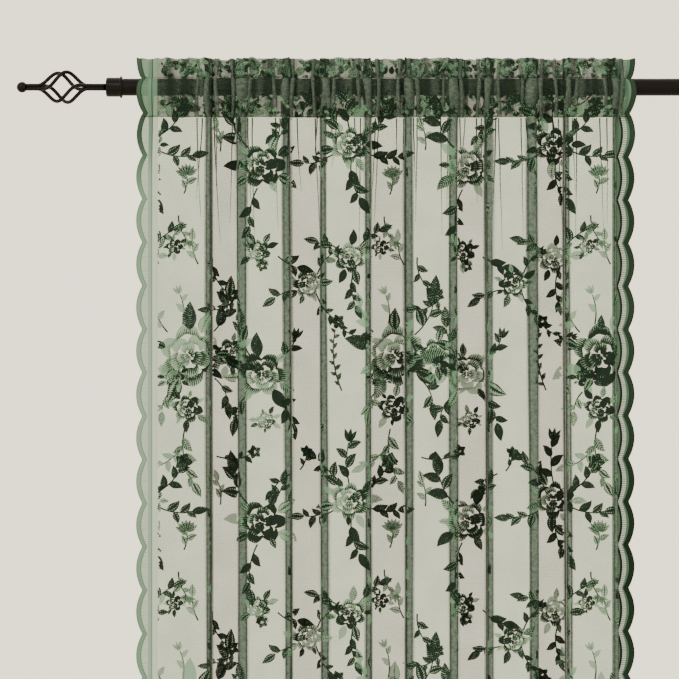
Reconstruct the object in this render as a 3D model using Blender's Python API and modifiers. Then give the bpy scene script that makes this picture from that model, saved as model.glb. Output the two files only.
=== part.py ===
"""A lace curtain panel gathered on a round curtain rod with a twisted-cage finial at each end.

Metres, +Z up. X runs along the rod and -Y is the side that faces the room. The origin is on the rod's axis,
half way along the gathered cloth. The panel is one sheet: it rises from the hem, turns over at the top edge
and comes down behind, and two seams through both layers leave a pocket that the rod passes through.
"""

import functools
import math
from collections import namedtuple

import bmesh
import bpy
import numpy as np

# ------------------------------------------------------------------------------------------- driving sizes

MM = 0.001
GAP = 0.3 * MM  # what touching pieces keep between them

ROD_RADIUS = 12.7 * MM
ROD_WALL = 0.8 * MM
ROD_SIDES = 24

FLAT_WIDTH = 1321 * MM  # the panel before it is gathered, 52 in
FINISHED_LENGTH = 2134 * MM  # top edge to hem, 84 in
HUNG_WIDTH = 737 * MM  # the same panel on the rod
SHEET = 1.0 * MM  # thickness of the cloth
LAYER = 1.1 * MM  # how far each layer of the heading stands from the line of the seams

HEADING_TOP = 41.6 * MM
UPPER_SEAM = 13.9 * MM
LOWER_SEAM = -44.5 * MM
FLAT_HEADING = 28 * MM  # cloth from the top edge to the upper seam
FLAT_POCKET = 78 * MM  # cloth from seam to seam, round one side of the rod
HEM = LOWER_SEAM - (FINISHED_LENGTH - FLAT_HEADING - FLAT_POCKET)

SETTLE = 84 * MM  # height below the lower seam in which the small gathers turn into the main folds
TURN = 13 * MM  # cloth in each rounded turn of a fold
BOW = math.radians(11)  # how far a broad panel between two folds is bowed
GATHER_ANGLE = math.radians(82)  # how steeply the small gathers stand at the heading
GATHER_TAKE = 0.66  # share of the cloth in the gathers that they take up
GATHER_ROUNDNESS = 1.6  # larger keeps a gather steep for more of its length
SWAY = 1.4 * MM  # how far each fold wanders from its straight line
SWAY_STEP = 2.1  # phase from one fold to the next, in radians
SWAY_PER_METRE = 5.0  # phase along the height, in radians

SCALLOP = 64 * MM  # pitch of the scallops down both sides
SCALLOP_DEPTH = 9.5 * MM
FIRST_NOTCH = 35 * MM  # from the top edge to the first notch between two scallops
SCALLOP_STEPS = 4  # points along one scallop
LOBE_POWER = 0.8  # 1 gives the scallops the shape of a sine, less makes them rounder
BORDER = 29 * MM  # width of the border inside the scallops

CAGE_WIRES = 4
WIRE_RADIUS = 1.7 * MM
BUNDLE_RADIUS = 4.2 * MM  # circle on which the wires lie in the neck and the tail
CAGE_RADIUS = 28 * MM  # the same circle at the middle of the cage
CAGE_LENGTH = 74 * MM
CAGE_TWIST = math.radians(180)
CAGE_POINTS = 17
NECK = 17.5 * MM  # from the cage to the ball
TAIL = 26.5 * MM  # from the cage to the collar
BALL_RADIUS = 8.1 * MM
BALL_SEAT = 6.2 * MM  # radius of the flat on the ball that the wires meet
COLLAR_RADIUS = 14.3 * MM
COLLAR_LENGTH = 21 * MM
COLLAR_WALL = 3.2 * MM  # its closed end
RIM_RADIUS = 16.2 * MM
RIM_LENGTH = 3.4 * MM
COLLAR_BEVEL = 0.8 * MM
BALL_STEPS = 9
FINIAL_SIDES = 24

LEFT_BARE = 21.5 * MM  # rod between the cloth and the left collar's rim
RIGHT_BARE = 68 * MM  # the same at the right

# The main folds from left to right. Places are from the middle of the panel, at the heading and low down,
# and the overlap is the width in which the three layers of the fold lie behind each other.
Fold = namedtuple("Fold", "name heading_x low_x overlap")
FOLDS = (
    Fold("a", -264.7 * MM, -262.5 * MM, 4.8 * MM),
    Fold("b", -212.2 * MM, -210.9 * MM, 15.0 * MM),
    Fold("c", -150.4 * MM, -144.2 * MM, 8.5 * MM),
    Fold("d", -92.3 * MM, -92.0 * MM, 10.5 * MM),
    Fold("e", -27.8 * MM, -25.2 * MM, 8.5 * MM),
    Fold("f", 32.2 * MM, 33.2 * MM, 10.0 * MM),
    Fold("g", 98.7 * MM, 98.4 * MM, 13.5 * MM),
    Fold("h", 150.9 * MM, 153.5 * MM, 8.0 * MM),
    Fold("i", 213.6 * MM, 217.9 * MM, 14.0 * MM),
    Fold("j", 264.8 * MM, 267.9 * MM, 5.4 * MM),
    Fold("k", 335.3 * MM, 339.6 * MM, 7.4 * MM),
)
LOW = -830 * MM  # where the low places of the folds are reached

# One side of the heading and pocket, from the top edge down. Stand is the distance from the line of the
# seams to the wall of the pocket, and ripple the share of the gathers' depth that is left in it.
Level = namedtuple("Level", "name height stand ripple")
POCKET = (
    Level("top edge", HEADING_TOP, 0.0, 1.0),
    Level("upper seam", UPPER_SEAM, 0.0, 1.0),
    Level("over the rod", UPPER_SEAM - 0.4 * MM, 13 * MM, 0.5),
    Level("beside the rod", -4 * MM, 21 * MM, 0.5),
    Level("lower seam", LOWER_SEAM, 0.0, 1.0),
)

# Rows below the lower seam, as distances from the top edge along the cloth, counted in scallops from the
# first notch. The first four settle the folds, and the hem follows the last one.
BODY_SCALLOPS = (1.5, 1.75, 2.0, 2.5, 5.0, 13.0, 22.0)

TIP = 2.4 * MM  # from the tip of a gather to the column on each side of it
CLOSEST = 3 * MM  # columns nearer to each other than this are one
REACH = 1.5 * MM  # cloth on each side of a point that gives the cloth's direction there
DENSE = 0.5 * MM  # step along the cloth when its course is worked out
SOFTEST, HARDEST = 0.3, 1.9  # range of the factor that fits each stretch's headings to its width
HALVINGS = 30


# ---------------------------------------------------------------------------------------------- small tools


def smooth(t):
    """0 below 0, 1 above 1, and a smooth S between them."""
    t = np.clip(t, 0.0, 1.0)
    return t * t * (3.0 - 2.0 * t)


def material(name, colour, roughness, metallic):
    made = bpy.data.materials.new(name)
    made.use_nodes = True
    shader = made.node_tree.nodes["Principled BSDF"]
    shader.inputs["Base Color"].default_value = (*colour, 1.0)
    shader.inputs["Roughness"].default_value = roughness
    shader.inputs["Metallic"].default_value = metallic
    return made


def place(collection, name, data, finish):
    """Puts mesh or curve data into the scene as one named sub-part."""
    made = bpy.data.objects.new(name, data)
    made.data.materials.append(finish)
    collection.objects.link(made)
    return made


def turned(collection, name, profile, finish, sides, closed=False):
    """A turned piece: a profile of (radius, height) points spun round Z by a Screw modifier."""
    shape = bmesh.new()
    points = [shape.verts.new((radius, 0.0, height)) for radius, height in profile]
    for start, end in zip(points, points[1:] + points[:1] if closed else points[1:]):
        shape.edges.new((start, end))
    mesh = bpy.data.meshes.new(name)
    shape.to_mesh(mesh)
    shape.free()
    piece = place(collection, name, mesh, finish)
    screw = piece.modifiers.new("Turn", "SCREW")
    screw.axis = "Z"
    screw.steps = sides
    screw.render_steps = sides
    screw.use_merge_vertices = True
    screw.merge_threshold = 0.00001
    return piece


def lay_along_rod(piece, x, side):
    """Turns a piece's own Z to the outward direction of one rod end, and puts its base at x."""
    piece.rotation_euler = (0.0, side * math.pi / 2, 0.0)
    piece.location = (x, 0.0, 0.0)


# -------------------------------------------------------------------------------------- course of the cloth

# Seen from above, the cloth is a line of fixed length. Its heading, the angle between the line and the rod,
# says everything: the place of a point is the sum of the steps (cos heading, sin heading) before it.


def fold_turns(flank):
    """Heading that the flank of each fold needs for its overlap."""
    return [math.pi / 2 + math.asin(min(0.6, fold.overlap / (flank + TURN / 2))) for fold in FOLDS]


def fold_heading(cloth, centre, turn, flank):
    """0, then turn along the flank of a fold, then 0 again, with a rounded change at both ends."""
    rise = smooth((cloth - centre + flank / 2 + TURN / 2) / TURN)
    fall = smooth((cloth - centre - flank / 2 + TURN / 2) / TURN)
    return turn * (rise - fall)


def taken_up(turn, flank):
    """Cloth that one fold takes out of the width."""
    reach = flank / 2 + TURN
    cloth = np.arange(-reach, reach, DENSE)
    return float(np.sum(1.0 - np.cos(fold_heading(cloth, 0.0, turn, flank))) * DENSE)


def common_flank():
    """The flank length, one for all folds, at which they take up the panel's whole fullness."""
    spare = FLAT_WIDTH - HUNG_WIDTH
    short, long = 10 * MM, 120 * MM
    for _ in range(HALVINGS):
        flank = (short + long) / 2
        if sum(taken_up(turn, flank) for turn in fold_turns(flank)) < spare:
            short = flank
        else:
            long = flank
    return flank


def fold_places(height):
    """Place of each fold along the rod at one height."""
    low = smooth((LOWER_SEAM - height) / (LOWER_SEAM - LOW))
    sway = smooth((LOWER_SEAM - height) / SETTLE)
    return np.array(
        [
            fold.heading_x + (fold.low_x - fold.heading_x) * low
            + SWAY * sway * math.sin(SWAY_STEP * number + SWAY_PER_METRE * height)
            for number, fold in enumerate(FOLDS)
        ]
    )


def panel_middles(height):
    """Ends of the stretches that hold one fold each: both edges and the middles between the folds."""
    places = fold_places(height)
    between = (places[1:] + places[:-1]) / 2
    return np.concatenate(([-HUNG_WIDTH / 2], between, [HUNG_WIDTH / 2]))


FLANK = common_flank()
TURNS = fold_turns(FLANK)
TAKEN = np.array([taken_up(turn, FLANK) for turn in TURNS])
SIGNS = np.array([1 if number % 2 == 0 else -1 for number in range(len(FOLDS))])

# Cloth positions, which never change with height: where each stretch begins, and the middle of each fold.
CUT_MIDDLES = np.concatenate(([0.0], np.cumsum(np.diff(panel_middles(LOW)) + TAKEN)))
CUT_MIDDLES *= FLAT_WIDTH / CUT_MIDDLES[-1]
CUT_FOLDS = CUT_MIDDLES[:-1] + fold_places(LOW) - panel_middles(LOW)[:-1] + TAKEN / 2
GATHER_FLANKS = TAKEN / GATHER_TAKE / 4  # cloth from one tip of a gather to the next


def gather_heading(cloth, centre, sign_of_fold, flank):
    """Heading of the small gathers of one fold: half a flank, three whole ones to and fro, and half a flank.
    The second and fourth go the way of the fold, so that the gathers open into it without crossing."""
    way = (cloth - centre) / flank + 2.0
    inner = np.clip(way - 0.5, 0.0, 3.0)
    sign = np.where(np.floor(inner).astype(int) % 2 == 0, -1.0, 1.0)
    rounded = np.sin(math.pi * (inner - np.floor(inner)))
    ends = np.where(way < 0.5, way * 2.0, (way - 3.5) * 2.0)
    at_ends = (way < 0.5) | (way > 3.5)
    rounded = np.where(at_ends, np.sin(math.pi * np.clip(ends, 0.0, 1.0)), rounded)
    sign = np.where(at_ends, 1.0, sign)
    steep = np.tanh(GATHER_ROUNDNESS * rounded) / math.tanh(GATHER_ROUNDNESS)
    return -sign_of_fold * GATHER_ANGLE * sign * steep


@functools.lru_cache(maxsize=None)
def course(height):
    """Cloth positions and the (x, y) of the cloth along them at one height."""
    cloth = np.arange(0.0, FLAT_WIDTH + DENSE / 2, DENSE)
    settled = float(smooth((LOWER_SEAM - height) / SETTLE))
    folds_and_edges = np.concatenate(([0.0], CUT_FOLDS, [FLAT_WIDTH]))
    bow = np.interp(cloth, folds_and_edges, np.concatenate(([0], SIGNS, [0])))
    heading = settled * BOW * bow
    for centre, turn, sign, gather in zip(CUT_FOLDS, TURNS, SIGNS, GATHER_FLANKS):
        heading = heading + settled * sign * fold_heading(cloth, centre, turn, FLANK)
        heading = heading + (1.0 - settled) * gather_heading(cloth, centre, sign, gather)

    ends = panel_middles(height)
    depth_steps = []
    x_parts, y_parts = [np.array([ends[0]])], [np.array([0.0])]
    stretches = np.searchsorted(cloth, CUT_MIDDLES)
    stretches[-1] = len(cloth) - 1
    for number in range(len(FOLDS)):
        angles = heading[stretches[number] : stretches[number + 1]]
        width = ends[number + 1] - ends[number]
        soft, hard = SOFTEST, HARDEST
        for _ in range(HALVINGS):
            strength = (soft + hard) / 2
            if np.sum(np.cos(strength * angles)) * DENSE > width:
                soft = strength
            else:
                hard = strength
        x_steps = np.cumsum(np.cos(strength * angles)) * DENSE
        y_steps = np.cumsum(np.sin(strength * angles)) * DENSE
        x_parts.append(ends[number] + x_steps * (width / x_steps[-1]))
        y_parts.append(y_steps)
        depth_steps.append(y_steps[-1])

    depth = float(np.mean(SIGNS * np.array(depth_steps)))  # front to back, the same for all folds
    level = -depth / 2
    for number, steps in enumerate(y_parts[1:], start=1):
        sign = SIGNS[number - 1]
        share = np.arange(1, len(steps) + 1) / len(steps)
        y_parts[number] = level + steps + (sign * depth - steps[-1]) * share
        level += sign * depth
    y_parts[0][0] = -depth / 2
    return cloth, np.concatenate(x_parts), np.concatenate(y_parts)


def columns():
    """Cloth positions of the sheet's columns: two beside each tip of the gathers, one between the folds."""
    found = [BORDER, FLAT_WIDTH - BORDER]
    for centre, flank in zip(CUT_FOLDS, GATHER_FLANKS):
        for tip in (-1.5, -0.5, 0.5, 1.5):
            found += [centre + tip * flank - TIP, centre + tip * flank + TIP]
        found += [centre - flank, centre + flank, centre - 2 * flank, centre + 2 * flank]
    found += list(CUT_MIDDLES[1:-1])
    found = sorted(place for place in found if BORDER <= place <= FLAT_WIDTH - BORDER)
    kept = found[:1]
    for place in found[1:]:
        if place - kept[-1] > CLOSEST:
            kept.append(place)
    return np.array(kept)


def notch(down):
    """How far the scalloped edge stands back at a distance from the top edge: a row of round lobes."""
    phase = math.pi * (abs(down) - FIRST_NOTCH) / SCALLOP
    return SCALLOP_DEPTH * (1.0 - abs(math.sin(phase)) ** LOBE_POWER)


# --------------------------------------------------------------------------------------------- lace panel


def sheet_point(cloth, height, side=0.0, level=None):
    """A point of the sheet's middle surface. Side is -1 for the heading's front layer, 1 for its back one."""
    way, x_way, y_way = course(height)
    x = np.interp(cloth, way, x_way)
    y = np.interp(cloth, way, y_way)
    ahead = np.clip(cloth + REACH, 0.0, FLAT_WIDTH)
    behind = np.clip(cloth - REACH, 0.0, FLAT_WIDTH)
    dx = np.interp(ahead, way, x_way) - np.interp(behind, way, x_way)
    dy = np.interp(ahead, way, y_way) - np.interp(behind, way, y_way)
    size = np.hypot(dx, dy)
    x = x - side * LAYER * dy / size
    y_layer = side * LAYER * dx / size
    stand, ripple = (level.stand, level.ripple) if level else (0.0, 1.0)
    y = y * ripple + side * stand + y_layer
    return np.stack([x, y, np.full_like(x, height)], axis=-1)


# A row of the sheet: its way along the cloth from the top edge, its height, and the layer of the heading.
Row = namedtuple("Row", "way height side level")


def sheet_rows():
    """Rows of the sheet from its end behind the lower seam, over the top edge, down the front to the hem."""
    wall = [0.0]
    for before, after in zip(POCKET[1:-1], POCKET[2:]):
        wall.append(wall[-1] + math.hypot(after.height - before.height, after.stand - before.stand))
    down_cloth = [0.0] + [FLAT_HEADING + FLAT_POCKET * way / wall[-1] for way in wall]
    pocket = [(way, level.height, level) for way, level in zip(down_cloth, POCKET)]
    rows = [Row(way, height, 1.0, level) for way, height, level in reversed(pocket)]
    rows += [Row(way, height, -1.0, level) for way, height, level in pocket]
    ways = [FIRST_NOTCH + count * SCALLOP for count in BODY_SCALLOPS] + [FINISHED_LENGTH]
    rows += [Row(way, LOWER_SEAM - (way - down_cloth[-1]), -1.0, None) for way in ways]
    return rows


def edge_point(row, way, right):
    """The point of a row at which the scalloped edge lies, for the notch at a distance from the top edge."""
    inset = notch(way)
    cloth = FLAT_WIDTH - inset if right else inset
    return sheet_point(np.array([cloth]), row.height, row.side, row.level)[0]


def edge_run(upper, lower, right):
    """Points of a scalloped edge between two rows, on the straight line of the cloth from row to row, each
    with whether it is a notch."""
    step = SCALLOP / SCALLOP_STEPS
    first = math.ceil((upper.way - FIRST_NOTCH) / step + 0.25)
    last = math.floor((lower.way - FIRST_NOTCH) / step - 0.25)
    run = []
    for number in range(first, last + 1):
        way = FIRST_NOTCH + number * step
        share = (way - upper.way) / (lower.way - upper.way)
        point = edge_point(upper, way, right) * (1 - share) + edge_point(lower, way, right) * share
        run.append((point, number % SCALLOP_STEPS == 0))
    return run


def add_face(shape, corners, right):
    """A face of the left edge as listed, or of the right edge turned to face the same way."""
    shape.faces.new(tuple(reversed(corners)) if right else corners)


def close_edge(shape, edge, inner_top, inner_bottom, right):
    """Fills the sheet from the column beside the edge out to the scallops. Edge is a list of (vertex, whether
    it is a notch): each lobe is one face on the line from notch to notch, joined to the column behind it."""
    line, lobe = [edge[0][0]], [edge[0][0]]
    for number, (vertex, is_notch) in enumerate(edge[1:], start=1):
        lobe.append(vertex)
        if is_notch or number == len(edge) - 1:
            if len(lobe) > 2:
                add_face(shape, lobe, right)
            line.append(vertex)
            lobe = [vertex]
    split = len(line) // 2
    for number, (start, end) in enumerate(zip(line[:-1], line[1:])):
        corner = inner_top if number < split else inner_bottom
        add_face(shape, (start, end, corner), right)
    add_face(shape, (line[split], inner_bottom, inner_top), right)


def build_panel(collection, finish):
    shape = bmesh.new()
    cloth = columns()
    rows = sheet_rows()
    grid = []
    for row in rows:
        inner = [shape.verts.new(point) for point in sheet_point(cloth, row.height, row.side, row.level)]
        left = shape.verts.new(edge_point(row, row.way, right=False))
        right = shape.verts.new(edge_point(row, row.way, right=True))
        grid.append((left, inner, right))
    body_start = 2 * len(POCKET) - 1
    for number, (above, below) in enumerate(zip(grid[:-1], grid[1:])):
        for upper, lower, upper_next, lower_next in zip(above[1], below[1], above[1][1:], below[1][1:]):
            shape.faces.new((upper, lower, lower_next, upper_next))
        for right in (False, True):
            edge = [(above[2] if right else above[0], False)]
            if number >= body_start:
                run = edge_run(rows[number], rows[number + 1], right)
                edge += [(shape.verts.new(point), is_notch) for point, is_notch in run]
            edge.append((below[2] if right else below[0], False))
            inner_top = above[1][-1] if right else above[1][0]
            inner_bottom = below[1][-1] if right else below[1][0]
            close_edge(shape, edge, inner_top, inner_bottom, right)
    mesh = bpy.data.meshes.new("lace_panel")
    shape.to_mesh(mesh)
    shape.free()
    panel = place(collection, "lace_panel", mesh, finish)
    solid = panel.modifiers.new("Thickness", "SOLIDIFY")
    solid.thickness = SHEET
    solid.offset = 0.0
    return panel


# ----------------------------------------------------------------------------------------- rod and finials


def build_rod(collection, finish, left_end, right_end):
    bore = ROD_RADIUS - ROD_WALL
    length = right_end - left_end
    profile = [(ROD_RADIUS, length), (ROD_RADIUS, 0.0), (bore, 0.0), (bore, length)]
    rod = turned(collection, "curtain_rod", profile, finish, ROD_SIDES, closed=True)
    lay_along_rod(rod, left_end, 1)


def build_collar(collection, name, finish, rim_x, side):
    """A cap over the rod's end: open towards the cloth, with a rim there and a closed outer end."""
    bore = ROD_RADIUS + GAP
    bevel = COLLAR_BEVEL
    top = RIM_LENGTH + COLLAR_LENGTH
    profile = [
        (0.0, top),
        (COLLAR_RADIUS - bevel, top),
        (COLLAR_RADIUS, top - bevel),
        (COLLAR_RADIUS, RIM_LENGTH),
        (RIM_RADIUS - bevel, RIM_LENGTH),
        (RIM_RADIUS, RIM_LENGTH - bevel),
        (RIM_RADIUS, bevel),
        (RIM_RADIUS - bevel, 0.0),
        (bore, 0.0),
        (bore, top - COLLAR_WALL),
        (0.0, top - COLLAR_WALL),
    ]
    collar = turned(collection, name, profile, finish, FINIAL_SIDES)
    lay_along_rod(collar, rim_x, side)


def build_ball(collection, name, finish, seat_x, side):
    """The end ball, flat where the wires meet it."""
    rise = math.sqrt(BALL_RADIUS**2 - BALL_SEAT**2)
    lowest = math.pi - math.asin(BALL_SEAT / BALL_RADIUS)
    angles = [lowest * step / BALL_STEPS for step in range(BALL_STEPS + 1)]
    profile = [(BALL_RADIUS * math.sin(angle), rise + BALL_RADIUS * math.cos(angle)) for angle in angles]
    profile.append((0.0, 0.0))
    ball = turned(collection, name, profile, finish, FINIAL_SIDES)
    lay_along_rod(ball, seat_x, side)


def wire_route(start_x, side, phase):
    """Points of one cage wire from the collar to the ball: straight tail, half turn of the cage, neck."""
    route = []
    for step in range(CAGE_POINTS):
        share = step / (CAGE_POINTS - 1)
        swell = math.sin(math.pi * share) ** 2
        radius = BUNDLE_RADIUS + (CAGE_RADIUS - BUNDLE_RADIUS) * swell
        angle = phase - side * CAGE_TWIST * share
        out = TAIL + CAGE_LENGTH * share
        route.append((start_x + side * out, radius * math.cos(angle), radius * math.sin(angle)))
    first, last = route[0], route[-1]
    route.insert(0, (start_x, first[1], first[2]))
    route.append((last[0] + side * NECK, last[1], last[2]))
    return route


def build_wire(collection, name, finish, route):
    curve = bpy.data.curves.new(name, "CURVE")
    curve.dimensions = "3D"
    curve.bevel_depth = WIRE_RADIUS
    curve.bevel_resolution = 2
    curve.use_fill_caps = True
    line = curve.splines.new("POLY")
    line.points.add(len(route) - 1)
    for point, place_on_route in zip(line.points, route):
        point.co = (*place_on_route, 1.0)
    place(collection, name, curve, finish)


def build_finial(collection, finish, label, rim_x, side):
    build_collar(collection, f"{label}_collar", finish, rim_x, side)
    wires_start = rim_x + side * (RIM_LENGTH + COLLAR_LENGTH + GAP)
    for number in range(CAGE_WIRES):
        phase = math.pi / 4 + number * math.tau / CAGE_WIRES
        route = wire_route(wires_start, side, phase)
        build_wire(collection, f"{label}_cage_wire_{number + 1}", finish, route)
    seat_x = wires_start + side * (TAIL + CAGE_LENGTH + NECK + GAP)
    build_ball(collection, f"{label}_ball", finish, seat_x, side)


# ----------------------------------------------------------------------------------------------- assembly


def main():
    for old in list(bpy.data.objects):
        bpy.data.objects.remove(old, do_unlink=True)
    parts = bpy.data.collections.new("lace curtain on a curtain rod")
    bpy.context.scene.collection.children.link(parts)

    lace = material("green polyester lace", (0.10, 0.19, 0.11), 0.85, 0.0)
    steel = material("black painted steel", (0.012, 0.011, 0.011), 0.38, 0.6)

    build_panel(parts, lace)
    left_rim = -HUNG_WIDTH / 2 - LEFT_BARE
    right_rim = HUNG_WIDTH / 2 + RIGHT_BARE
    inside_collar = RIM_LENGTH + COLLAR_LENGTH - COLLAR_WALL - GAP
    build_rod(parts, steel, left_rim - inside_collar, right_rim + inside_collar)
    build_finial(parts, steel, "left", left_rim, -1)
    build_finial(parts, steel, "right", right_rim, 1)


main()
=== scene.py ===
"""Dresses the lace curtain and its rod: the hanging lace with its figures and borders, the rod, the finials.

Metres, +Z up, X along the rod, -Y towards the room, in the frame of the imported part.
"""

import math
from collections import namedtuple

import bmesh
import bpy
import numpy as np
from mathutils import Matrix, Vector


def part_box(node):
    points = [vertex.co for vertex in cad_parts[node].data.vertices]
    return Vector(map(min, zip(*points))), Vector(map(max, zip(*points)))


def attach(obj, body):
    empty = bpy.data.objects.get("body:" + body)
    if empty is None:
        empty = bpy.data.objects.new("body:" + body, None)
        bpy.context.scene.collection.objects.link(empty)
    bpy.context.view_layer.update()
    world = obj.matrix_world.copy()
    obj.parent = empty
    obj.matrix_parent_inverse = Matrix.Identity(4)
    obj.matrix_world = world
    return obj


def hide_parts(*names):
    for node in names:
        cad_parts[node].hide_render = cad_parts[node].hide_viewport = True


bl_info = {
    "name": "Lace curtain on a curtain rod",
    "version": (1, 0, 0),
    "blender": (4, 5, 0),
    "location": "3D View > Sidebar > Lace Curtain",
    "description": "Makes the gathered lace panel, its borders and figures, the rod and the cage finials",
    "category": "Add Mesh",
}

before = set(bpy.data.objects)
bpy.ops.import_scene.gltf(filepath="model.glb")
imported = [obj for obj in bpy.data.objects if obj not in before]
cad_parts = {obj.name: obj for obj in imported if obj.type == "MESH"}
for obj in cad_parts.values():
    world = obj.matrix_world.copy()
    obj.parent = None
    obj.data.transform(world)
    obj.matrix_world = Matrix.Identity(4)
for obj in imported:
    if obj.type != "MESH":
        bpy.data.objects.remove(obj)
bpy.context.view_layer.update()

MM = 0.001

# -------------------------------------------------------------------------------- sizes of the hanging lace

FLAT_WIDTH = 1321 * MM  # the panel before it is gathered
FINISHED_LENGTH = 2134 * MM  # top edge to hem
HUNG_WIDTH = 737 * MM
LAYER = 1.1 * MM  # how far each layer of the heading stands from the line of the seams

HEADING_TOP = 41.6 * MM
UPPER_SEAM = 13.9 * MM
LOWER_SEAM = -44.5 * MM
FLAT_HEADING = 28 * MM
FLAT_POCKET = 78 * MM
FRONT_OF_SEAM = FLAT_HEADING + FLAT_POCKET  # cloth from the top edge to the lower seam
HEM = LOWER_SEAM - (FINISHED_LENGTH - FRONT_OF_SEAM)
HEM_DEPTH = 25 * MM

SETTLE = 84 * MM  # so far below the lower seam, the folds have their full depth
TURN = 13 * MM  # cloth that bends at each edge of a fold
BOW = math.radians(11)  # how far the cloth between two folds swings out of the line of the rod
TOP_DEPTH = 0.42  # depth of the folds at the top edge, as a share of the full one
SEAM_DEPTH = 0.24  # the same at the seams
SWAY = 1.4 * MM  # how far a fold wanders sideways on its way down
SWAY_STEP = 2.1  # radians from one fold to the next
SWAY_PER_METRE = 5.0  # radians down the cloth
SOFTEST, HARDEST = 0.3, 1.9  # range of the strength that a fold's headings are multiplied by
HALVINGS = 30
DENSE = 0.5 * MM  # step along the cloth of the drape's table

SCALLOP = 64 * MM  # from notch to notch
SCALLOP_DEPTH = 9.5 * MM
FIRST_NOTCH = 35 * MM  # below the top edge
LOBE_POWER = 0.8  # under 1, the lobes are fuller than a sine
BORDER = 31 * MM

# The bands of a side border, from the scallops inwards: where each ends, the share of a notch that its
# inner line follows, its shade, and how much of the edging's own tone is added to that.
Band = namedtuple("Band", "end follow shade tone")
LEFT_BANDS = (
    Band(1.4 * MM, 1.0, 0.08, 1.0),
    Band(6.3 * MM, 1.0, 0.00, 1.0),
    Band(7.7 * MM, 1.0, 0.10, 1.0),
    Band(17.6 * MM, 0.0, 0.04, 0.1),
    Band(22.4 * MM, 0.0, 0.24, 0.3),
    Band(23.8 * MM, 0.0, 0.06, 1.0),
    Band(BORDER + 0.3 * MM, 0.0, 0.10, 0.1),
)
RIGHT_BANDS = (
    Band(1.4 * MM, 1.0, 0.12, 1.0),
    Band(8.4 * MM, 1.0, 0.07, 1.0),
    Band(12.2 * MM, 0.78, 0.34, 0.3),
    Band(18.2 * MM, 0.72, 0.04, 0.1),
    Band(21.4 * MM, 0.70, 0.12, 1.0),
    Band(29.8 * MM, 0.0, 0.36, 0.25),
    Band(BORDER + 0.3 * MM, 0.0, 0.45, 0.4),
)
TRACK = 3  # number of the pale track among them, which fine rungs cross
EDGING_TONE = 0.44
HEADING_TONE = 0.40  # how much darker the edging is beside the heading
# Painted shade: the edging is drawn darker all the way down on the right.
RIGHT_PAINTED_SHADE = 0.44  # and all the way down on the right
RUNG = 1.1 * MM
RUNGS = 20  # in one scallop
RUNG_SHADES = (0.38, 0.74)  # on the left and on the right

# A fold: its place along the rod at the heading and at the height LOW, and how far it laps over itself.
Fold = namedtuple("Fold", "heading_x low_x overlap")
FOLDS = (
    Fold(-264.7 * MM, -262.5 * MM, 7.8 * MM),
    Fold(-212.2 * MM, -210.9 * MM, 18.0 * MM),
    Fold(-150.4 * MM, -144.2 * MM, 11.0 * MM),
    Fold(-92.3 * MM, -92.0 * MM, 14.0 * MM),
    Fold(-27.8 * MM, -25.2 * MM, 11.5 * MM),
    Fold(32.2 * MM, 33.2 * MM, 13.0 * MM),
    Fold(98.7 * MM, 98.4 * MM, 17.0 * MM),
    Fold(150.9 * MM, 153.5 * MM, 10.5 * MM),
    Fold(213.6 * MM, 217.9 * MM, 17.0 * MM),
    Fold(264.8 * MM, 267.9 * MM, 9.0 * MM),
    Fold(335.3 * MM, 339.6 * MM, 11.0 * MM),
)
LOW = -830 * MM

# One wall of the rod pocket from the upper seam to the lower one: share of the cloth, height, distance from
# the line of the seams, and share of the folds' depth at the seams that is left.
Wall = namedtuple("Wall", "share height stand depth")
POCKET = (
    Wall(0.00, 13.9 * MM, 0.0 * MM, 1.00),
    Wall(0.12, 13.3 * MM, 8.5 * MM, 0.72),
    Wall(0.24, 9.5 * MM, 15.5 * MM, 0.50),
    Wall(0.36, 2.5 * MM, 20.0 * MM, 0.50),
    Wall(0.48, -6.0 * MM, 21.0 * MM, 0.50),
    Wall(0.62, -16.5 * MM, 18.5 * MM, 0.55),
    Wall(0.78, -29.0 * MM, 11.0 * MM, 0.70),
    Wall(0.90, -38.0 * MM, 4.5 * MM, 0.90),
    Wall(1.00, -44.5 * MM, 0.0 * MM, 1.00),
)

# Small waves of the heading on top of its gathers: wavelength along the cloth, phase, height of the wave.
Ripple = namedtuple("Ripple", "length phase size")
RIPPLES = (
    Ripple(11.3 * MM, 0.4, 0.30),
    Ripple(17.9 * MM, 2.2, 0.42),
    Ripple(29.0 * MM, 4.1, 0.55),
    Ripple(61.0 * MM, 1.3, 0.40),
)
RUFFLE_TOP = 2.0 * MM
RUFFLE_SEAM = 1.5 * MM
RUFFLE_FADE = 70 * MM  # below the lower seam, the waves have died away
EDGE_WAVE = 1.5 * MM  # how far the top edge itself rises and falls

NET_COVER = 0.49  # the least share of the net that its threads close
# The dark line along a fold's edge is net seen edge on, which closes it up, and painted shade on its thread.
EDGE_WIDTH = 1.3 * MM  # width of the dark line where the cloth turns round the edge of a fold
MOST_CLOSED = 5.0  # layers of net that cloth seen edge on counts for
EDGE_CLOSING = 3.0  # layers more along the edge of a fold,
STRIP_CLOSING = 0.9  # between its two edges,
TUCK_CLOSING = 0.9  # and in the heading's tucks
# Painted shade that darkens the thread, from 0 to 1: in the heading, in the rod pocket, where cloth turns
# away from the front, between the two edges of a fold, along those edges, and how far a tuck paints it
# lighter or darker.
HEADING_PAINTED_SHADE = 0.62
POCKET_PAINTED_SHADE = 0.93
FOLD_PAINTED_SHADE = 0.20
STRIP_PAINTED_SHADE = 0.20
EDGE_PAINTED_SHADE = 0.60
TUCK_PAINTED_LIGHT_AND_SHADE = 0.24

COLUMN_STEP = 4.3 * MM  # between the net's columns where it hangs flat
CLOSEST_STEP = 1.2 * MM  # and where it turns round the edge of a fold
TEAR = 6 * MM  # a figure's face that reaches further back than this would cross the edge of a fold

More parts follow.
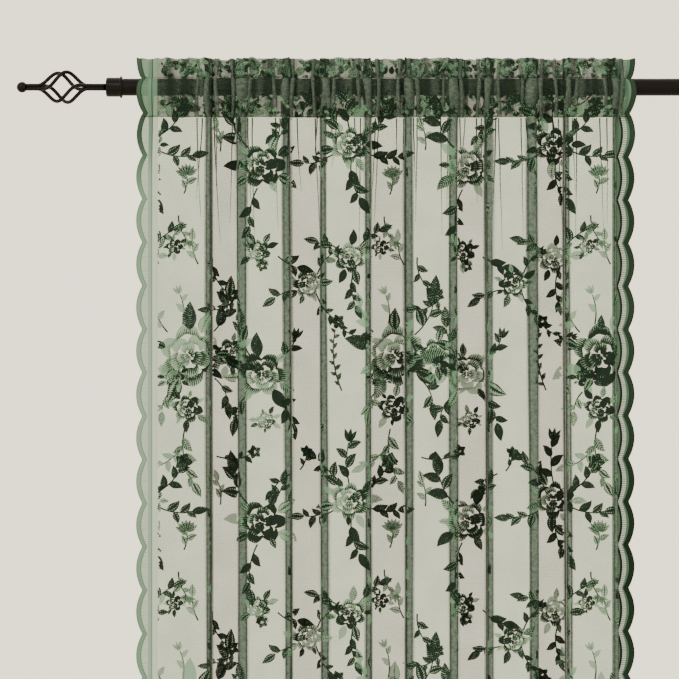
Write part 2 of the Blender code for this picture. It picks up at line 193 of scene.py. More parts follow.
# How far the pieces stand off the net, and where their finish is read for an even tone.
FIGURE_OFF = 0.35 * MM
LEAF_OFF = 0.45 * MM
LINE_OFF = 0.3 * MM
HEADING_OFF = 0.4 * MM
HEM_OFF = -0.5 * MM
STEM_UV = (0.25, 0.3)
STITCH_UV = (0.25, 0.2)

HATCH = 3.2 * MM  # between the lines of a leaf's hatching
PETAL_HATCH = 6.5  # the same for a petal, in mm round the rose

ROLL_OFF = 4.2 * MM  # from the pocket's wall to the sides of a roll of net in front of it
ROLL_BULGE = 2.6 * MM
CREASE_WIDTH = 1.8 * MM
EDGING_STEP = 3.2 * MM  # between the points of the edging's lines
STITCH = 2.4 * MM
STITCH_STEP = 3 * MM
FOLD_LEAVES = 210  # leaves inside each fold

ROD_WALL = 0.8 * MM
ROD_EDGE = 0.3 * MM  # how far the edges of the tube's ends are broken

CAGE_WIRES = 4
WIRE_SIDES = 14
WIRE_RADIUS = 2.8 * MM
BUNDLE_RADIUS = 3.2 * MM  # from the axis to the wires in the tail and the neck
CAGE_RADIUS = 26.4 * MM  # and where the cage is widest
CAGE_LENGTH = 74 * MM
CAGE_SWELL = 2.0  # power of the sine that the cage swells by
CAGE_TWIST = math.radians(180)
FINIAL_COAT = 0.05  # clear coat over the enamel of the finials
NECK = 17.5 * MM  # straight wires from the cage to the ball
TAIL = 26.5 * MM  # and from the collar to the cage
GAP = 0.3 * MM  # what touching pieces keep between them
BALL_RADIUS = 8.1 * MM
BALL_SEAT = 6.2 * MM  # radius of the flat on the ball that the wires meet
COLLAR_RADIUS = 14.3 * MM
COLLAR_LENGTH = 21 * MM
COLLAR_WALL = 3.2 * MM
RIM_RADIUS = 16.2 * MM
RIM_LENGTH = 3.4 * MM
CAP_FLATNESS = 0.12  # height of a wire's end cap as a share of its radius

FLOOR_DROP = 18 * MM  # from the hem to the floor
FLOOR_HALF = 4.0  # metres from its middle to its sides
VIEW_DISTANCE = 5.5  # metres from the camera to the cloth
VIEW_WIDTH = 1.003  # width of what it sees there
VIEW_X = -69.4 * MM  # place along the rod that it looks straight at
VIEW_Z = -372.7 * MM  # and height of that place
BACKDROP_STRENGTH = 2.7
ROOM_STRENGTH = 1.7

# A light: its name, its place, the point it is aimed at, its size and its power in watts.
Light = namedtuple("Light", "name place aim size power")
LIGHTS = (
    Light("key_light", (-1.6, -2.4, 1.4), (0.0, 0.0, -0.6), 1.6, 20.0),
    Light("fill_light", (2.2, -2.2, 0.2), (0.0, 0.0, -0.8), 2.0, 9.0),
    Light("back_light", (0.6, 2.6, 1.2), (0.0, 0.0, -0.8), 2.2, 12.0),
)


# ---------------------------------------------------------------------------------------------- small tools


def smooth(t):
    """0 below 0, 1 above 1, and a smooth S between them."""
    t = np.clip(t, 0.0, 1.0)
    return t * t * (3.0 - 2.0 * t)


def linear(code):
    """An sRGB hex colour as linear red, green and blue, with alpha 1."""
    parts = [int(code[start : start + 2], 16) / 255 for start in (1, 3, 5)]
    return tuple(c / 12.92 if c <= 0.04045 else ((c + 0.055) / 1.055) ** 2.4 for c in parts) + (1.0,)


def grid_faces(first, rows, columns, wrap=False):
    """Quads of a grid of vertices numbered row by row from first; wrap closes each row on itself."""
    across = np.arange(columns if wrap else columns - 1)
    down = np.arange(rows - 1)
    top = first + down[:, None] * columns + across[None, :]
    beside = first + down[:, None] * columns + (across[None, :] + 1) % columns
    return np.stack([top, top + columns, beside + columns, beside], axis=-1).reshape(-1, 4)


def mesh_piece(name, points, faces, finish, uv=None, values=None):
    """A new piece from arrays: points, quads, a UV for each point, and named numbers for each point."""
    mesh = bpy.data.meshes.new(name)
    mesh.vertices.add(len(points))
    mesh.vertices.foreach_set("co", np.asarray(points, np.float32).ravel())
    mesh.loops.add(faces.size)
    mesh.loops.foreach_set("vertex_index", faces.astype(np.int32).ravel())
    mesh.polygons.add(len(faces))
    mesh.polygons.foreach_set("loop_start", np.arange(0, faces.size, faces.shape[1], dtype=np.int32))
    mesh.update(calc_edges=True)
    if uv is not None:
        layer = mesh.uv_layers.new(name="cloth")
        layer.data.foreach_set("uv", np.asarray(uv, np.float32)[faces.ravel()].ravel())
    for label, numbers in (values or {}).items():
        attribute = mesh.attributes.new(label, "FLOAT", "POINT")
        attribute.data.foreach_set("value", np.asarray(numbers, np.float32).ravel())
    mesh.polygons.foreach_set("use_smooth", np.full(len(faces), True))
    mesh.validate()
    piece = bpy.data.objects.new(name, mesh)
    bpy.context.scene.collection.objects.link(piece)
    mesh.materials.append(finish)
    return piece


def add_node(tree, kind, inputs=(), output=0, **settings):
    """Adds a shader node with its settings, gives its inputs a value each or a link from a socket, and
    returns one of its outputs. Inputs come in order, or in a dict by name or number; so does the output."""
    made = tree.nodes.new(f"ShaderNode{kind}")
    for name, value in settings.items():
        setattr(made, name, value)
    inputs = inputs if isinstance(inputs, dict) else dict(enumerate(inputs))
    for name, value in inputs.items():
        if isinstance(value, bpy.types.NodeSocket):
            tree.links.new(value, made.inputs[name])
        else:
            made.inputs[name].default_value = value
    return made.outputs[output]


def new_finish(name, **numbers):
    """A material with just its Principled shader and its output; numbers are set on that shader by name."""
    made = bpy.data.materials.new(name)
    made.use_nodes = True
    shader = made.node_tree.nodes["Principled BSDF"]
    for label, value in numbers.items():
        shader.inputs[label.replace("_", " ")].default_value = value
    return made, made.node_tree, shader


def unit_grid(rows, columns):
    """Two grids of rows by columns: from 0 to 1 down the rows, and from -1 to 1 along each row."""
    return np.meshgrid(np.linspace(0.0, 1.0, rows), np.linspace(-1.0, 1.0, columns), indexing="ij")


def table_of(*columns):
    """Columns of numbers, widened to one shape, side by side along a new last axis."""
    return np.stack(np.broadcast_arrays(*columns), axis=-1)


def lifted(*columns):
    """Each column of numbers with two more axes, so that it goes with a grid for each of its entries."""
    return [np.asarray(column, float)[:, None, None] for column in columns]


# ------------------------------------------------------------------------------------------------ the drape

# Seen from above, the cloth is a line of fixed length, and its heading is the angle between it and the rod.
# The place of a point is the sum of the steps (cos heading, sin heading) before it.


def fold_heading(cloth, centre, turn, flank):
    """0, then turn along the flank of a fold, then 0 again, with a rounded change at both ends."""
    rise = smooth((cloth - centre + flank / 2 + TURN / 2) / TURN)
    fall = smooth((cloth - centre - flank / 2 + TURN / 2) / TURN)
    return turn * (rise - fall)


def fold_turns(flank):
    """Heading that the flank of each fold needs for its overlap: a right angle plus the angle whose sine is
    the overlap over the flank."""
    return [math.pi / 2 + math.asin(min(0.6, fold.overlap / (flank + TURN / 2))) for fold in FOLDS]


def taken_up(turn, flank):
    """Cloth that one fold takes out of the width: the sum of 1 - cos(heading) along it."""
    reach = flank / 2 + TURN
    cloth = np.arange(-reach, reach, DENSE)
    return float(np.sum(1.0 - np.cos(fold_heading(cloth, 0.0, turn, flank))) * DENSE)


def common_flank():
    """The flank length, one for all folds, at which they take up the panel's whole fullness."""
    short, long = 10 * MM, 120 * MM
    for _ in range(HALVINGS):
        flank = (short + long) / 2
        if sum(taken_up(turn, flank) for turn in fold_turns(flank)) < FLAT_WIDTH - HUNG_WIDTH:
            short = flank
        else:
            long = flank
    return flank


def fold_places(heights):
    """Place of each fold along the rod, a row for each height: it moves on a smooth S from its place at the
    heading to its place at LOW, with a slow sine on top."""
    heights = np.atleast_1d(heights)[:, None]
    low = smooth((LOWER_SEAM - heights) / (LOWER_SEAM - LOW))
    sway = smooth((LOWER_SEAM - heights) / SETTLE)
    at_heading = np.array([fold.heading_x for fold in FOLDS])
    at_low = np.array([fold.low_x for fold in FOLDS])
    wander = np.sin(SWAY_STEP * np.arange(len(FOLDS)) + SWAY_PER_METRE * heights)
    return at_heading + (at_low - at_heading) * low + SWAY * sway * wander


def stretch_ends(heights):
    """Ends of the stretches that hold one fold each, half way between folds, a row for each height."""
    places = fold_places(heights)
    edge = np.full((len(places), 1), HUNG_WIDTH / 2)
    return np.concatenate([-edge, (places[:, 1:] + places[:, :-1]) / 2, edge], axis=1)


FLANK = common_flank()
TURNS = fold_turns(FLANK)
TAKEN = np.array([taken_up(turn, FLANK) for turn in TURNS])
SIGNS = np.array([1 if number % 2 == 0 else -1 for number in range(len(FOLDS))])
CUT_MIDDLES = np.concatenate(([0.0], np.cumsum(np.diff(stretch_ends(LOW)[0]) + TAKEN)))
CUT_MIDDLES *= FLAT_WIDTH / CUT_MIDDLES[-1]
CUT_FOLDS = CUT_MIDDLES[:-1] + fold_places(LOW)[0] - stretch_ends(LOW)[0][:-1] + TAKEN / 2
CLOTH = np.arange(0.0, FLAT_WIDTH + DENSE / 2, DENSE)


def courses(heights):
    """The x and the y of the cloth, each an array of one row for each height and one column for each step.

    The headings of a stretch are multiplied by a strength, found by halving, at which the sum of the
    cosines of its steps is its width. The sum of the sines is y, levelled so that every fold is equally
    deep."""
    corners = np.concatenate(([0.0], CUT_FOLDS, [FLAT_WIDTH]))
    headings = BOW * np.interp(CLOTH, corners, np.concatenate(([0], SIGNS, [0])))
    headings = headings + sum(
        sign * fold_heading(CLOTH, centre, turn, FLANK) for centre, turn, sign in zip(CUT_FOLDS, TURNS, SIGNS)
    )
    headings = np.broadcast_to(headings, (len(heights), len(CLOTH)))

    ends = stretch_ends(heights)
    cuts = np.searchsorted(CLOTH, CUT_MIDDLES)
    cuts[-1] = len(CLOTH) - 1
    x_parts, y_parts = [ends[:, :1]], [np.zeros((len(heights), 1))]
    for number in range(len(FOLDS)):
        angles = headings[:, cuts[number] : cuts[number + 1]]
        width = ends[:, number + 1] - ends[:, number]
        soft, hard = np.full(len(heights), SOFTEST), np.full(len(heights), HARDEST)
        for _ in range(HALVINGS):
            strength = (soft + hard) / 2
            long = np.sum(np.cos(strength[:, None] * angles), axis=1) * DENSE > width
            soft, hard = np.where(long, strength, soft), np.where(long, hard, strength)
        x_steps = np.cumsum(np.cos(strength[:, None] * angles), axis=1) * DENSE
        x_parts.append(ends[:, number, None] + x_steps * (width / x_steps[:, -1])[:, None])
        y_parts.append(np.cumsum(np.sin(strength[:, None] * angles), axis=1) * DENSE)

    depth = np.mean([sign * part[:, -1] for sign, part in zip(SIGNS, y_parts[1:])], axis=0)
    level = -depth / 2
    y_parts[0] = level[:, None]
    for number, sign in enumerate(SIGNS, start=1):
        steps = y_parts[number]
        share = np.arange(1, steps.shape[1] + 1) / steps.shape[1]
        y_parts[number] = level[:, None] + steps + (sign * depth - steps[:, -1])[:, None] * share
        level = level + sign * depth
    return np.concatenate(x_parts, axis=1), np.concatenate(y_parts, axis=1)


def sheet_rows():
    """Rows of the sheet as arrays: way down the cloth from the top edge, negative behind it, height, side,
    distance from the line of the seams, and share of the folds' full depth."""
    heading = np.linspace(0.0, 1.0, 6)
    pocket = np.linspace(0.0, 1.0, 13)[1:]
    shares, heights, stands, depths = np.array(POCKET).T
    way = np.concatenate([heading * FLAT_HEADING, FLAT_HEADING + pocket * FLAT_POCKET])
    upper = HEADING_TOP + (UPPER_SEAM - HEADING_TOP) * heading
    height = np.concatenate([upper, np.interp(pocket, shares, heights)])
    stand = np.concatenate([0 * heading, np.interp(pocket, shares, stands)])
    flattened = np.interp(pocket, shares, depths)
    depth = np.concatenate([TOP_DEPTH + (SEAM_DEPTH - TOP_DEPTH) * heading, SEAM_DEPTH * flattened])
    body = np.concatenate(
        [np.arange(6, 100, 8) * MM, np.arange(104, 300, 14) * MM, np.arange(318, 2000, 26) * MM]
    )
    body = np.concatenate([body, [FINISHED_LENGTH - FRONT_OF_SEAM]])
    ones = np.ones_like(body)
    rows = {
        "way": np.concatenate([-way[::-1], [0.0], way, FRONT_OF_SEAM + body]),
        "height": np.concatenate([height[::-1], [HEADING_TOP + LAYER * 0.6], height, LOWER_SEAM - body]),
        "side": np.concatenate([0 * way + 1, [0.0], 0 * way - 1, -ones]),
        "stand": np.concatenate([stand[::-1], [0.0], stand, 0 * ones]),
        "depth": np.concatenate(
            [depth[::-1], [TOP_DEPTH], depth, SEAM_DEPTH + (1.0 - SEAM_DEPTH) * smooth(body / SETTLE)]
        ),
    }
    rows["way"][len(way) - 1] = -0.4 * MM
    rows["way"][len(way) + 1] = 0.4 * MM
    return rows


class Drape:
    """The hanging cloth as a table of points, rows down the cloth by steps across it, with tables of its
    normal, its gather, the shade painted on it, and the edges and strips of its folds."""

    def __init__(self):
        rows = sheet_rows()
        self.way, self.height = rows["way"], rows["height"]
        x, y = courses(self.height)
        dx, dy = np.gradient(x, axis=1), np.gradient(y, axis=1)
        size = np.hypot(dx, dy)
        side = rows["side"][:, None]
        waves = sum(r.size * np.sin(2 * math.pi * CLOTH / r.length + r.phase) for r in RIPPLES)
        down = np.abs(self.way)
        at_top = 1.0 - smooth(down / FLAT_HEADING)
        fade = 1.0 - smooth((down - FRONT_OF_SEAM) / RUFFLE_FADE)
        ruffle = (RUFFLE_TOP * at_top + RUFFLE_SEAM * (1.0 - at_top) * fade)[:, None] * waves
        # A point is its course's place with the folds' depth scaled, pushed out by the pocket's wall and
        # the ruffle, and moved a layer's distance square to the course where the heading is doubled.
        along = side * LAYER * (down < FRONT_OF_SEAM + 1 * MM)[:, None]
        y = y * rows["depth"][:, None] + side * rows["stand"][:, None] + ruffle
        z = self.height[:, None] + EDGE_WAVE * at_top[:, None] * np.roll(waves, 60)
        self.points = np.stack([x - along * dy / size, y + along * dx / size, z], axis=-1)
        across = np.gradient(self.points, axis=1)
        downward = np.gradient(self.points, axis=0)
        self.normal = np.cross(downward, across)
        self.normal /= np.linalg.norm(self.normal, axis=2, keepdims=True)
        # How closely the cloth stands behind one place of the rod: 1 where it's flat, more where it turns.
        self.gather = np.clip(DENSE / np.maximum(np.abs(across[..., 0]), 1e-9), 1.0, MOST_CLOSED)
        in_heading = (down < FRONT_OF_SEAM)[:, None]
        self.gather += in_heading * TUCK_CLOSING * np.clip(waves + 0.15, 0.0, 1.2) ** 2
        self.edge, self.strip = np.zeros_like(x), np.zeros_like(x)
        for centre in CUT_FOLDS:
            reach = FLANK / 2 + 26 * MM
            start, middle, end = (max(0, int((centre + way) / DENSE)) for way in (-reach, 0.0, reach))
            window, edge, strip = (table[:, start:end] for table in (x, self.edge, self.strip))
            right = x[:, start:middle].max(axis=1)[:, None]
            left = x[:, middle:end].min(axis=1)[:, None]
            for side_x in (left, right):
                np.maximum(edge, np.exp(-(((window - side_x) / EDGE_WIDTH) ** 2)), out=edge)
            np.maximum(strip, (window > left) & (window < right), out=strip)
        self.gather += EDGE_CLOSING * self.edge + STRIP_CLOSING * self.strip
        # Painted shade: the thread is drawn darker where the cloth turns away from the front, along the edges
        # of the folds and between them, over the heading and the rod pocket, and in light and dark bands
        # along the tucks.
        turned = FOLD_PAINTED_SHADE * np.clip((self.gather - 1.3) / 3.2, 0.0, 1.0)
        band = np.where(down < FLAT_HEADING, HEADING_PAINTED_SHADE, POCKET_PAINTED_SHADE)[:, None]
        band = in_heading * (band + TUCK_PAINTED_LIGHT_AND_SHADE * np.clip(waves, -1, 1))
        self.deep = turned + EDGE_PAINTED_SHADE * self.edge + STRIP_PAINTED_SHADE * self.strip * (1 - in_heading) + band
        self.first_front = int(np.searchsorted(self.way, 0.0)) + 1
        self.front = self.front_table()

    def front_table(self):
        """For each front row and each place along the rod, the step of the cloth that is nearest the
        room."""
        places = np.arange(-HUNG_WIDTH / 2, HUNG_WIDTH / 2, DENSE)
        table = []
        for x, y in zip(self.points[self.first_front :, :, 0], self.points[self.first_front :, :, 1]):
            slot = np.clip(((x - places[0]) / DENSE).round().astype(int), 0, len(places) - 1)
            order = np.lexsort((y, slot))
            found, first = np.unique(slot[order], return_index=True)
            table.append(np.interp(np.arange(len(places)), found, order[first]))
        return np.array(table)

    def _cell(self, across, down):
        """Table corners and shares for places given as cloth across and way down."""
        column = np.clip(across / DENSE, 0, len(CLOTH) - 1.001)
        row = np.clip(np.searchsorted(self.way, down, side="right") - 1, 0, len(self.way) - 2)
        share = np.clip((down - self.way[row]) / (self.way[row + 1] - self.way[row]), 0.0, 1.0)
        left = column.astype(int)
        return row, left, share, column - left

    def take(self, table, across, down):
        """A table's value at places given as cloth across and way down, in even shares between the four
        corners of the place's cell."""
        row, left, down_share, across_share = self._cell(across, down)
        if table.ndim == 3:
            down_share, across_share = down_share[..., None], across_share[..., None]
        upper = table[row, left] * (1 - across_share) + table[row, left + 1] * across_share
        lower = table[row + 1, left] * (1 - across_share) + table[row + 1, left + 1] * across_share
        return upper * (1 - down_share) + lower * down_share

    def surface(self, across, down, off=0.0):
        """Points of the cloth, moved off it along its normal towards the room side."""
        normal = self.take(self.normal, across, down)
        return self.take(self.points, across, down) + off * normal

    def from_front(self, x, z):
        """Cloth across and way down of what shows from the front at a place along the rod and a height.

        It is read from the front table in the nearer row, and mixed with the other row's by height, as long
        as both lie on the same wall of a fold."""
        ways, heights = self.way[self.first_front :], self.height[self.first_front :]
        down = np.interp(-z, -heights, ways)
        row = np.clip(np.searchsorted(ways, down, side="right") - 1, 0, len(ways) - 2)
        share = np.clip((down - ways[row]) / (ways[row + 1] - ways[row]), 0.0, 1.0)
        place = np.clip((x + HUNG_WIDTH / 2) / DENSE, 0, self.front.shape[1] - 1.001)
        left = place.astype(int)
        part = place - left
        # Neighbours that are more than a few steps of cloth apart lie on different walls of a fold.
        near = np.where(share < 0.5, row, row + 1)
        a, b = self.front[near, left], self.front[near, left + 1]
        step = np.where(np.abs(b - a) < 6, a * (1 - part) + b * part, np.where(part < 0.5, a, b))
        other = np.where(share < 0.5, row + 1, row)
        c, d = self.front[other, left], self.front[other, left + 1]
        far = np.where(np.abs(d - c) < 6, c * (1 - part) + d * part, np.where(part < 0.5, c, d))
        weight = np.where(share < 0.5, share, 1 - share)
        step = np.where(np.abs(far - step) < 8, step * (1 - weight) + far * weight, step)
        return step * DENSE, down


DRAPE = Drape()


def notch(down):
    """How far the scalloped edge stands back at a way down the cloth: a row of round lobes."""
    phase = math.pi * (np.abs(down) - FIRST_NOTCH) / SCALLOP
    return SCALLOP_DEPTH * (1.0 - np.abs(np.sin(phase)) ** LOBE_POWER)


# ------------------------------------------------------------------------------------------------- finishes


# Matt thread: its fine fibres scatter the light, so it has hardly any gloss.
THREAD = {"Roughness": 0.8, "Specular_IOR_Level": 0.15}


def knitted_net(colours):
    """Warp-knitted polyester net: fine open courses and wales that let about half of the light through, so
    one layer is a pale veil, and cloth that turns away from the front closes up and is painted darker as
    shade."""
    finish, tree, shader = new_finish("warp_knitted_polyester_net", **THREAD)
    uv = add_node(tree, "UVMap", uv_map="cloth")
    across = add_node(tree, "SeparateXYZ", [uv])
    down = across.node.outputs["Y"]
    gather = add_node(tree, "Attribute", output="Fac", attribute_name="gather")
    deep = add_node(tree, "Attribute", output="Fac", attribute_name="deep")
    fine, broad, cloudy = (
        add_node(
            tree,
            "TexNoise",
            {"Vector": uv, "Scale": scale, "Detail": detail, "Roughness": roughness},
            noise_dimensions="2D",
        )
        for scale, detail, roughness in ((0.45, 2.0, 0.5), (0.02, 2.0, 0.5), (0.19, 4.0, 0.75))
    )
    # Courses are 1.2 mm apart in such a net, and are drawn at 2.6 mm so that they show; wales at 2.1 mm.
    rows = add_node(tree, "Math", [down, math.tau / 2.6], operation="MULTIPLY")
    rows = add_node(tree, "Math", [rows], operation="SINE")
    wales = add_node(tree, "Math", [across, math.tau / 2.1], operation="MULTIPLY")
    wales = add_node(tree, "Math", [wales], operation="SINE")
    # The share that is closed: the least share, a little more along courses and wales, and an uneven rest.
    cover = add_node(tree, "Math", [wales, 0.02, NET_COVER], operation="MULTIPLY_ADD")
    for part, weight in ((rows, 0.035), (fine, 0.16), (broad, 0.12)):
        cover = add_node(tree, "Math", [part, weight, cover], operation="MULTIPLY_ADD")
    clear = add_node(tree, "Math", [1.0, cover], operation="SUBTRACT", use_clamp=True)
    clear = add_node(tree, "Math", [clear, gather], operation="POWER")
    alpha = add_node(tree, "Math", [1.0, clear], operation="SUBTRACT", use_clamp=True)
    # Two layers of net over each other show slanting streaks, about 5 mm apart.
    slant = add_node(tree, "Math", [fine, 9.0, down], operation="MULTIPLY_ADD")
    slant = add_node(tree, "Math", [across, 1.4, slant], operation="MULTIPLY_ADD")
    streak = add_node(tree, "Math", [slant, math.tau / 5.0], operation="MULTIPLY")
    streak = add_node(tree, "Math", [streak], operation="SINE")
    depth = add_node(tree, "Math", [cloudy, 4.4, -2.2], operation="MULTIPLY_ADD")
    depth = add_node(tree, "Math", [streak, 0.30, depth], operation="MULTIPLY_ADD")
    # Painted shade: the deep attribute greys the thread where layers overlap and darkens it towards the
    # shaded net colour, mottled in the folds by the clouds and streaks.
    layered = add_node(tree, "Math", [deep, 1.2, gather], operation="MULTIPLY_ADD")
    folded = add_node(tree, "MapRange", {"Value": layered, "From Min": 1.4, "From Max": 1.95})
    flecks = add_node(tree, "Math", [depth, 0.42], operation="MULTIPLY")
    flecks = add_node(tree, "Math", [folded, flecks], operation="MULTIPLY")
    paler = add_node(tree, "Math", [1.25, deep], operation="SUBTRACT")
    flecks = add_node(tree, "Math", [flecks, paler], operation="MULTIPLY")
    tone = add_node(tree, "Math", [deep, flecks], operation="ADD", use_clamp=True)
    flat, over = tuple(colours.net_colour), tuple(colours.net_fold_colour)
    thread = add_node(tree, "Mix", {0: folded, 6: flat, 7: over}, output=2, data_type="RGBA")
    shaded = {0: tone, 6: thread, 7: tuple(colours.net_painted_shade_colour)}
    colour = add_node(tree, "Mix", shaded, output=2, data_type="RGBA")
    tree.links.new(colour, shader.inputs["Base Color"])
    tree.links.new(alpha, shader.inputs["Alpha"])
    return finish


def knitted_border(colours):
    """Closely knitted edging: soft mid green that lets little light through where the loops close, and a
    veil where they open, told apart by the shade of each band."""
    finish, tree, shader = new_finish("raschel_knitted_edging", **THREAD)
    uv = add_node(tree, "UVMap", uv_map="cloth")
    shade = add_node(tree, "Attribute", output="Fac", attribute_name="shade")
    fine = add_node(tree, "TexNoise", {"Vector": uv, "Scale": 1.3, "Detail": 2.0}, noise_dimensions="2D")
    uneven = add_node(tree, "Math", [fine, 0.16, -0.08], operation="MULTIPLY_ADD")
    uneven = add_node(tree, "Math", [shade, uneven], operation="ADD", use_clamp=True)
    darker = add_node(tree, "MapRange", {"Value": uneven, "From Min": 0.42})
    pale, dark = tuple(colours.edging_colour), tuple(colours.figure_colour)
    colour = add_node(tree, "Mix", {0: darker, 6: pale, 7: dark}, output=2, data_type="RGBA")
    alpha = add_node(tree, "MapRange", {"Value": uneven, "From Max": 0.5, "To Min": 0.58})
    tree.links.new(colour, shader.inputs["Base Color"])
    tree.links.new(alpha, shader.inputs["Alpha"])
    return finish


def jacquard_figure(colours):
    """Figures knitted solid into the net: thick dull green where the loops close, open hatching where they
    shade off, with the ragged outline that the steps of the knitting give."""
    finish, tree, shader = new_finish("jacquard_knitted_figure", **THREAD)
    uv = add_node(tree, "UVMap", uv_map="cloth")
    hatch_at = add_node(tree, "SeparateXYZ", [uv])
    fade_at = hatch_at.node.outputs["Y"]
    shade = add_node(tree, "Attribute", output="Fac", attribute_name="shade")
    place = add_node(tree, "TexCoord", output="Object")
    speckle = add_node(tree, "TexNoise", {"Vector": place, "Scale": 420.0, "Detail": 1.0})
    hatch = add_node(tree, "Math", [hatch_at, math.tau], operation="MULTIPLY")
    hatch = add_node(tree, "Math", [hatch], operation="SINE")
    solid = add_node(tree, "Math", [shade, 1.9], operation="MULTIPLY")
    solid = add_node(tree, "Math", [solid, fade_at], operation="SUBTRACT")
    rough = add_node(tree, "Math", [speckle, 0.9, -0.45], operation="MULTIPLY_ADD")
    rough = add_node(tree, "Math", [hatch, 0.30, rough], operation="MULTIPLY_ADD")
    total = add_node(tree, "Math", [solid, rough], operation="ADD")
    ends = {"Value": total, "From Min": 0.05, "From Max": 0.55}
    closed = add_node(tree, "MapRange", ends, interpolation_type="SMOOTHSTEP")
    pale, dark = tuple(colours.figure_pale_colour), tuple(colours.figure_colour)
    colour = add_node(tree, "Mix", {0: closed, 6: pale, 7: dark}, output=2, data_type="RGBA")
    alpha = add_node(tree, "MapRange", {"Value": closed, "To Min": 0.74, "To Max": 0.99})
    tree.links.new(colour, shader.inputs["Base Color"])
    tree.links.new(alpha, shader.inputs["Alpha"])
    return finish


def enamel(name, colour, roughness, coat):
    """Stoved enamel on steel: black and faintly uneven like orange peel, so highlights break up."""
    finish, tree, shader = new_finish(
        name, Base_Color=tuple(colour), Specular_IOR_Level=0.16, Coat_Weight=coat, Coat_Roughness=0.08
    )
    place = add_node(tree, "TexCoord", output="Object")
    # The peel of stoved enamel has a pitch of about 1.5 mm.
    peel = add_node(tree, "TexNoise", {"Vector": place, "Scale": 660.0, "Detail": 2.0})
    broad = add_node(tree, "TexNoise", {"Vector": place, "Scale": 35.0, "Detail": 3.0})
    ends = {"Value": broad, "To Min": roughness * 0.8, "To Max": roughness * 1.25}
    tree.links.new(add_node(tree, "MapRange", ends), shader.inputs["Roughness"])
    bump = add_node(tree, "Bump", {"Height": peel, "Strength": 0.08, "Distance": 0.3 * MM})
    tree.links.new(bump, shader.inputs["Normal"])
    return finish


def painted_floor(colour):
    """Matt emulsion on a smooth floor: pale, with a barely uneven tone."""
    finish, tree, shader = new_finish("matt_painted_floor", Roughness=0.8)
    place = add_node(tree, "TexCoord", output="Object")
    cloud = add_node(tree, "TexNoise", {"Vector": place, "Scale": 1.5, "Detail": 3.0})
    tone = add_node(tree, "MapRange", {"Value": cloud, "To Min": 0.0, "To Max": 0.1})
    worn = linear("#c9c2b8")
    mixed = add_node(tree, "Mix", {0: tone, 6: tuple(colour), 7: worn}, output=2, data_type="RGBA")
    tree.links.new(mixed, shader.inputs["Base Color"])
    return finish


def finish_of(name, make, *values):
    """The material of that name, made the first time it is asked for."""
    return bpy.data.materials.get(name) or make(*values)


def dress(piece, slot, *nodes):
    """Puts a piece on the one body and hides the plain nodes that it stands for; slot is not used."""
    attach(piece, "root")
    if nodes:
        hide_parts(*nodes)


# -------------------------------------------------------------------------------------- shapes on the cloth


def cloth_columns():
    """Places across the cloth of the ground's columns: closer together the nearer they hang to an edge of a
    fold. Each is where the running sum of 1 / spacing reaches the next whole number."""
    row = int(np.searchsorted(DRAPE.way, LOWER_SEAM - LOW))
    near = np.maximum(DRAPE.edge[row] ** 0.2, DRAPE.gather[row] > 1.6)
    spacing = COLUMN_STEP - (COLUMN_STEP - CLOSEST_STEP) * near
    passed = np.cumsum(DENSE / spacing)
    low, high = np.interp((BORDER, FLAT_WIDTH - BORDER), CLOTH, passed)
    return np.interp(np.linspace(low, high, int(high - low) + 2), passed, CLOTH)


def cloth_grid(name, across, down, off, finish):
    """A piece that lies on the drape, from grids of cloth across and way down, rows by columns."""
    points = DRAPE.surface(across, down, off).reshape(-1, 3)
    uv = table_of(across / MM, down / MM).reshape(-1, 2)
    values = {"gather": DRAPE.take(DRAPE.gather, across, down), "deep": DRAPE.take(DRAPE.deep, across, down)}
    return mesh_piece(name, points, grid_faces(0, *across.shape), finish, uv, values)


def join_grids(name, batches, finish, tear=None, values=None):
    """One piece of many small grids. A batch is points (count, rows, columns, 3), UV likewise, and shade.
    Faces that reach further than tear from front to back would cross a fold's edge, and are left out."""
    points, uvs, shades, faces = [], [], [], []
    first = 0
    for place, uv, shade in batches:
        count, rows, columns = place.shape[:3]
        one = grid_faces(0, rows, columns)
        starts = first + np.arange(count) * rows * columns
        faces.append((starts[:, None, None] + one[None]).reshape(-1, 4))
        points.append(place.reshape(-1, 3))
        uvs.append(np.broadcast_to(uv, place.shape[:3] + (2,)).reshape(-1, 2))
        shades.append(np.broadcast_to(shade, place.shape[:3]).reshape(-1))
        first += place[..., 0].size
    points, faces = np.concatenate(points), np.concatenate(faces)
    uvs, shades = np.concatenate(uvs), np.concatenate(shades)
    if tear is not None:
        depth = points[faces, 1]
        inside = np.abs(points[faces, 0]).max(axis=1) < HUNG_WIDTH / 2 - BORDER
        faces = faces[(np.ptp(depth, axis=1) < tear) & inside]
        used, faces = np.unique(faces, return_inverse=True)
        points, uvs, shades, faces = points[used], uvs[used], shades[used], faces.reshape(-1, 4)
    return mesh_piece(name, points, faces, finish, uvs, {"shade": shades, **(values or {})})


LEAF_S, LEAF_T = unit_grid(9, 5)
PETAL_S, PETAL_T = unit_grid(6, 9)


def leaf_shapes(x, z, angle, length, width, bend):
    """Leaves as flat grids. Each is a centreline that starts at (x, z) and turns evenly by bend, with a
    half width of width/2 * sin(pi s^0.8) at the share s of its length."""
    x, z, angle, length, width, bend = lifted(x, z, angle, length, width, bend)
    way = angle + bend * (LEAF_S - 0.5)
    steps = length / (len(LEAF_S) - 1)
    middle_x = x + np.cumsum(np.cos(way) * steps, axis=1) - np.cos(way) * steps
    middle_z = z + np.cumsum(np.sin(way) * steps, axis=1) - np.sin(way) * steps
    half = width / 2 * np.sin(math.pi * LEAF_S**0.8) * LEAF_T
    return middle_x - np.sin(way) * half, middle_z + np.cos(way) * half


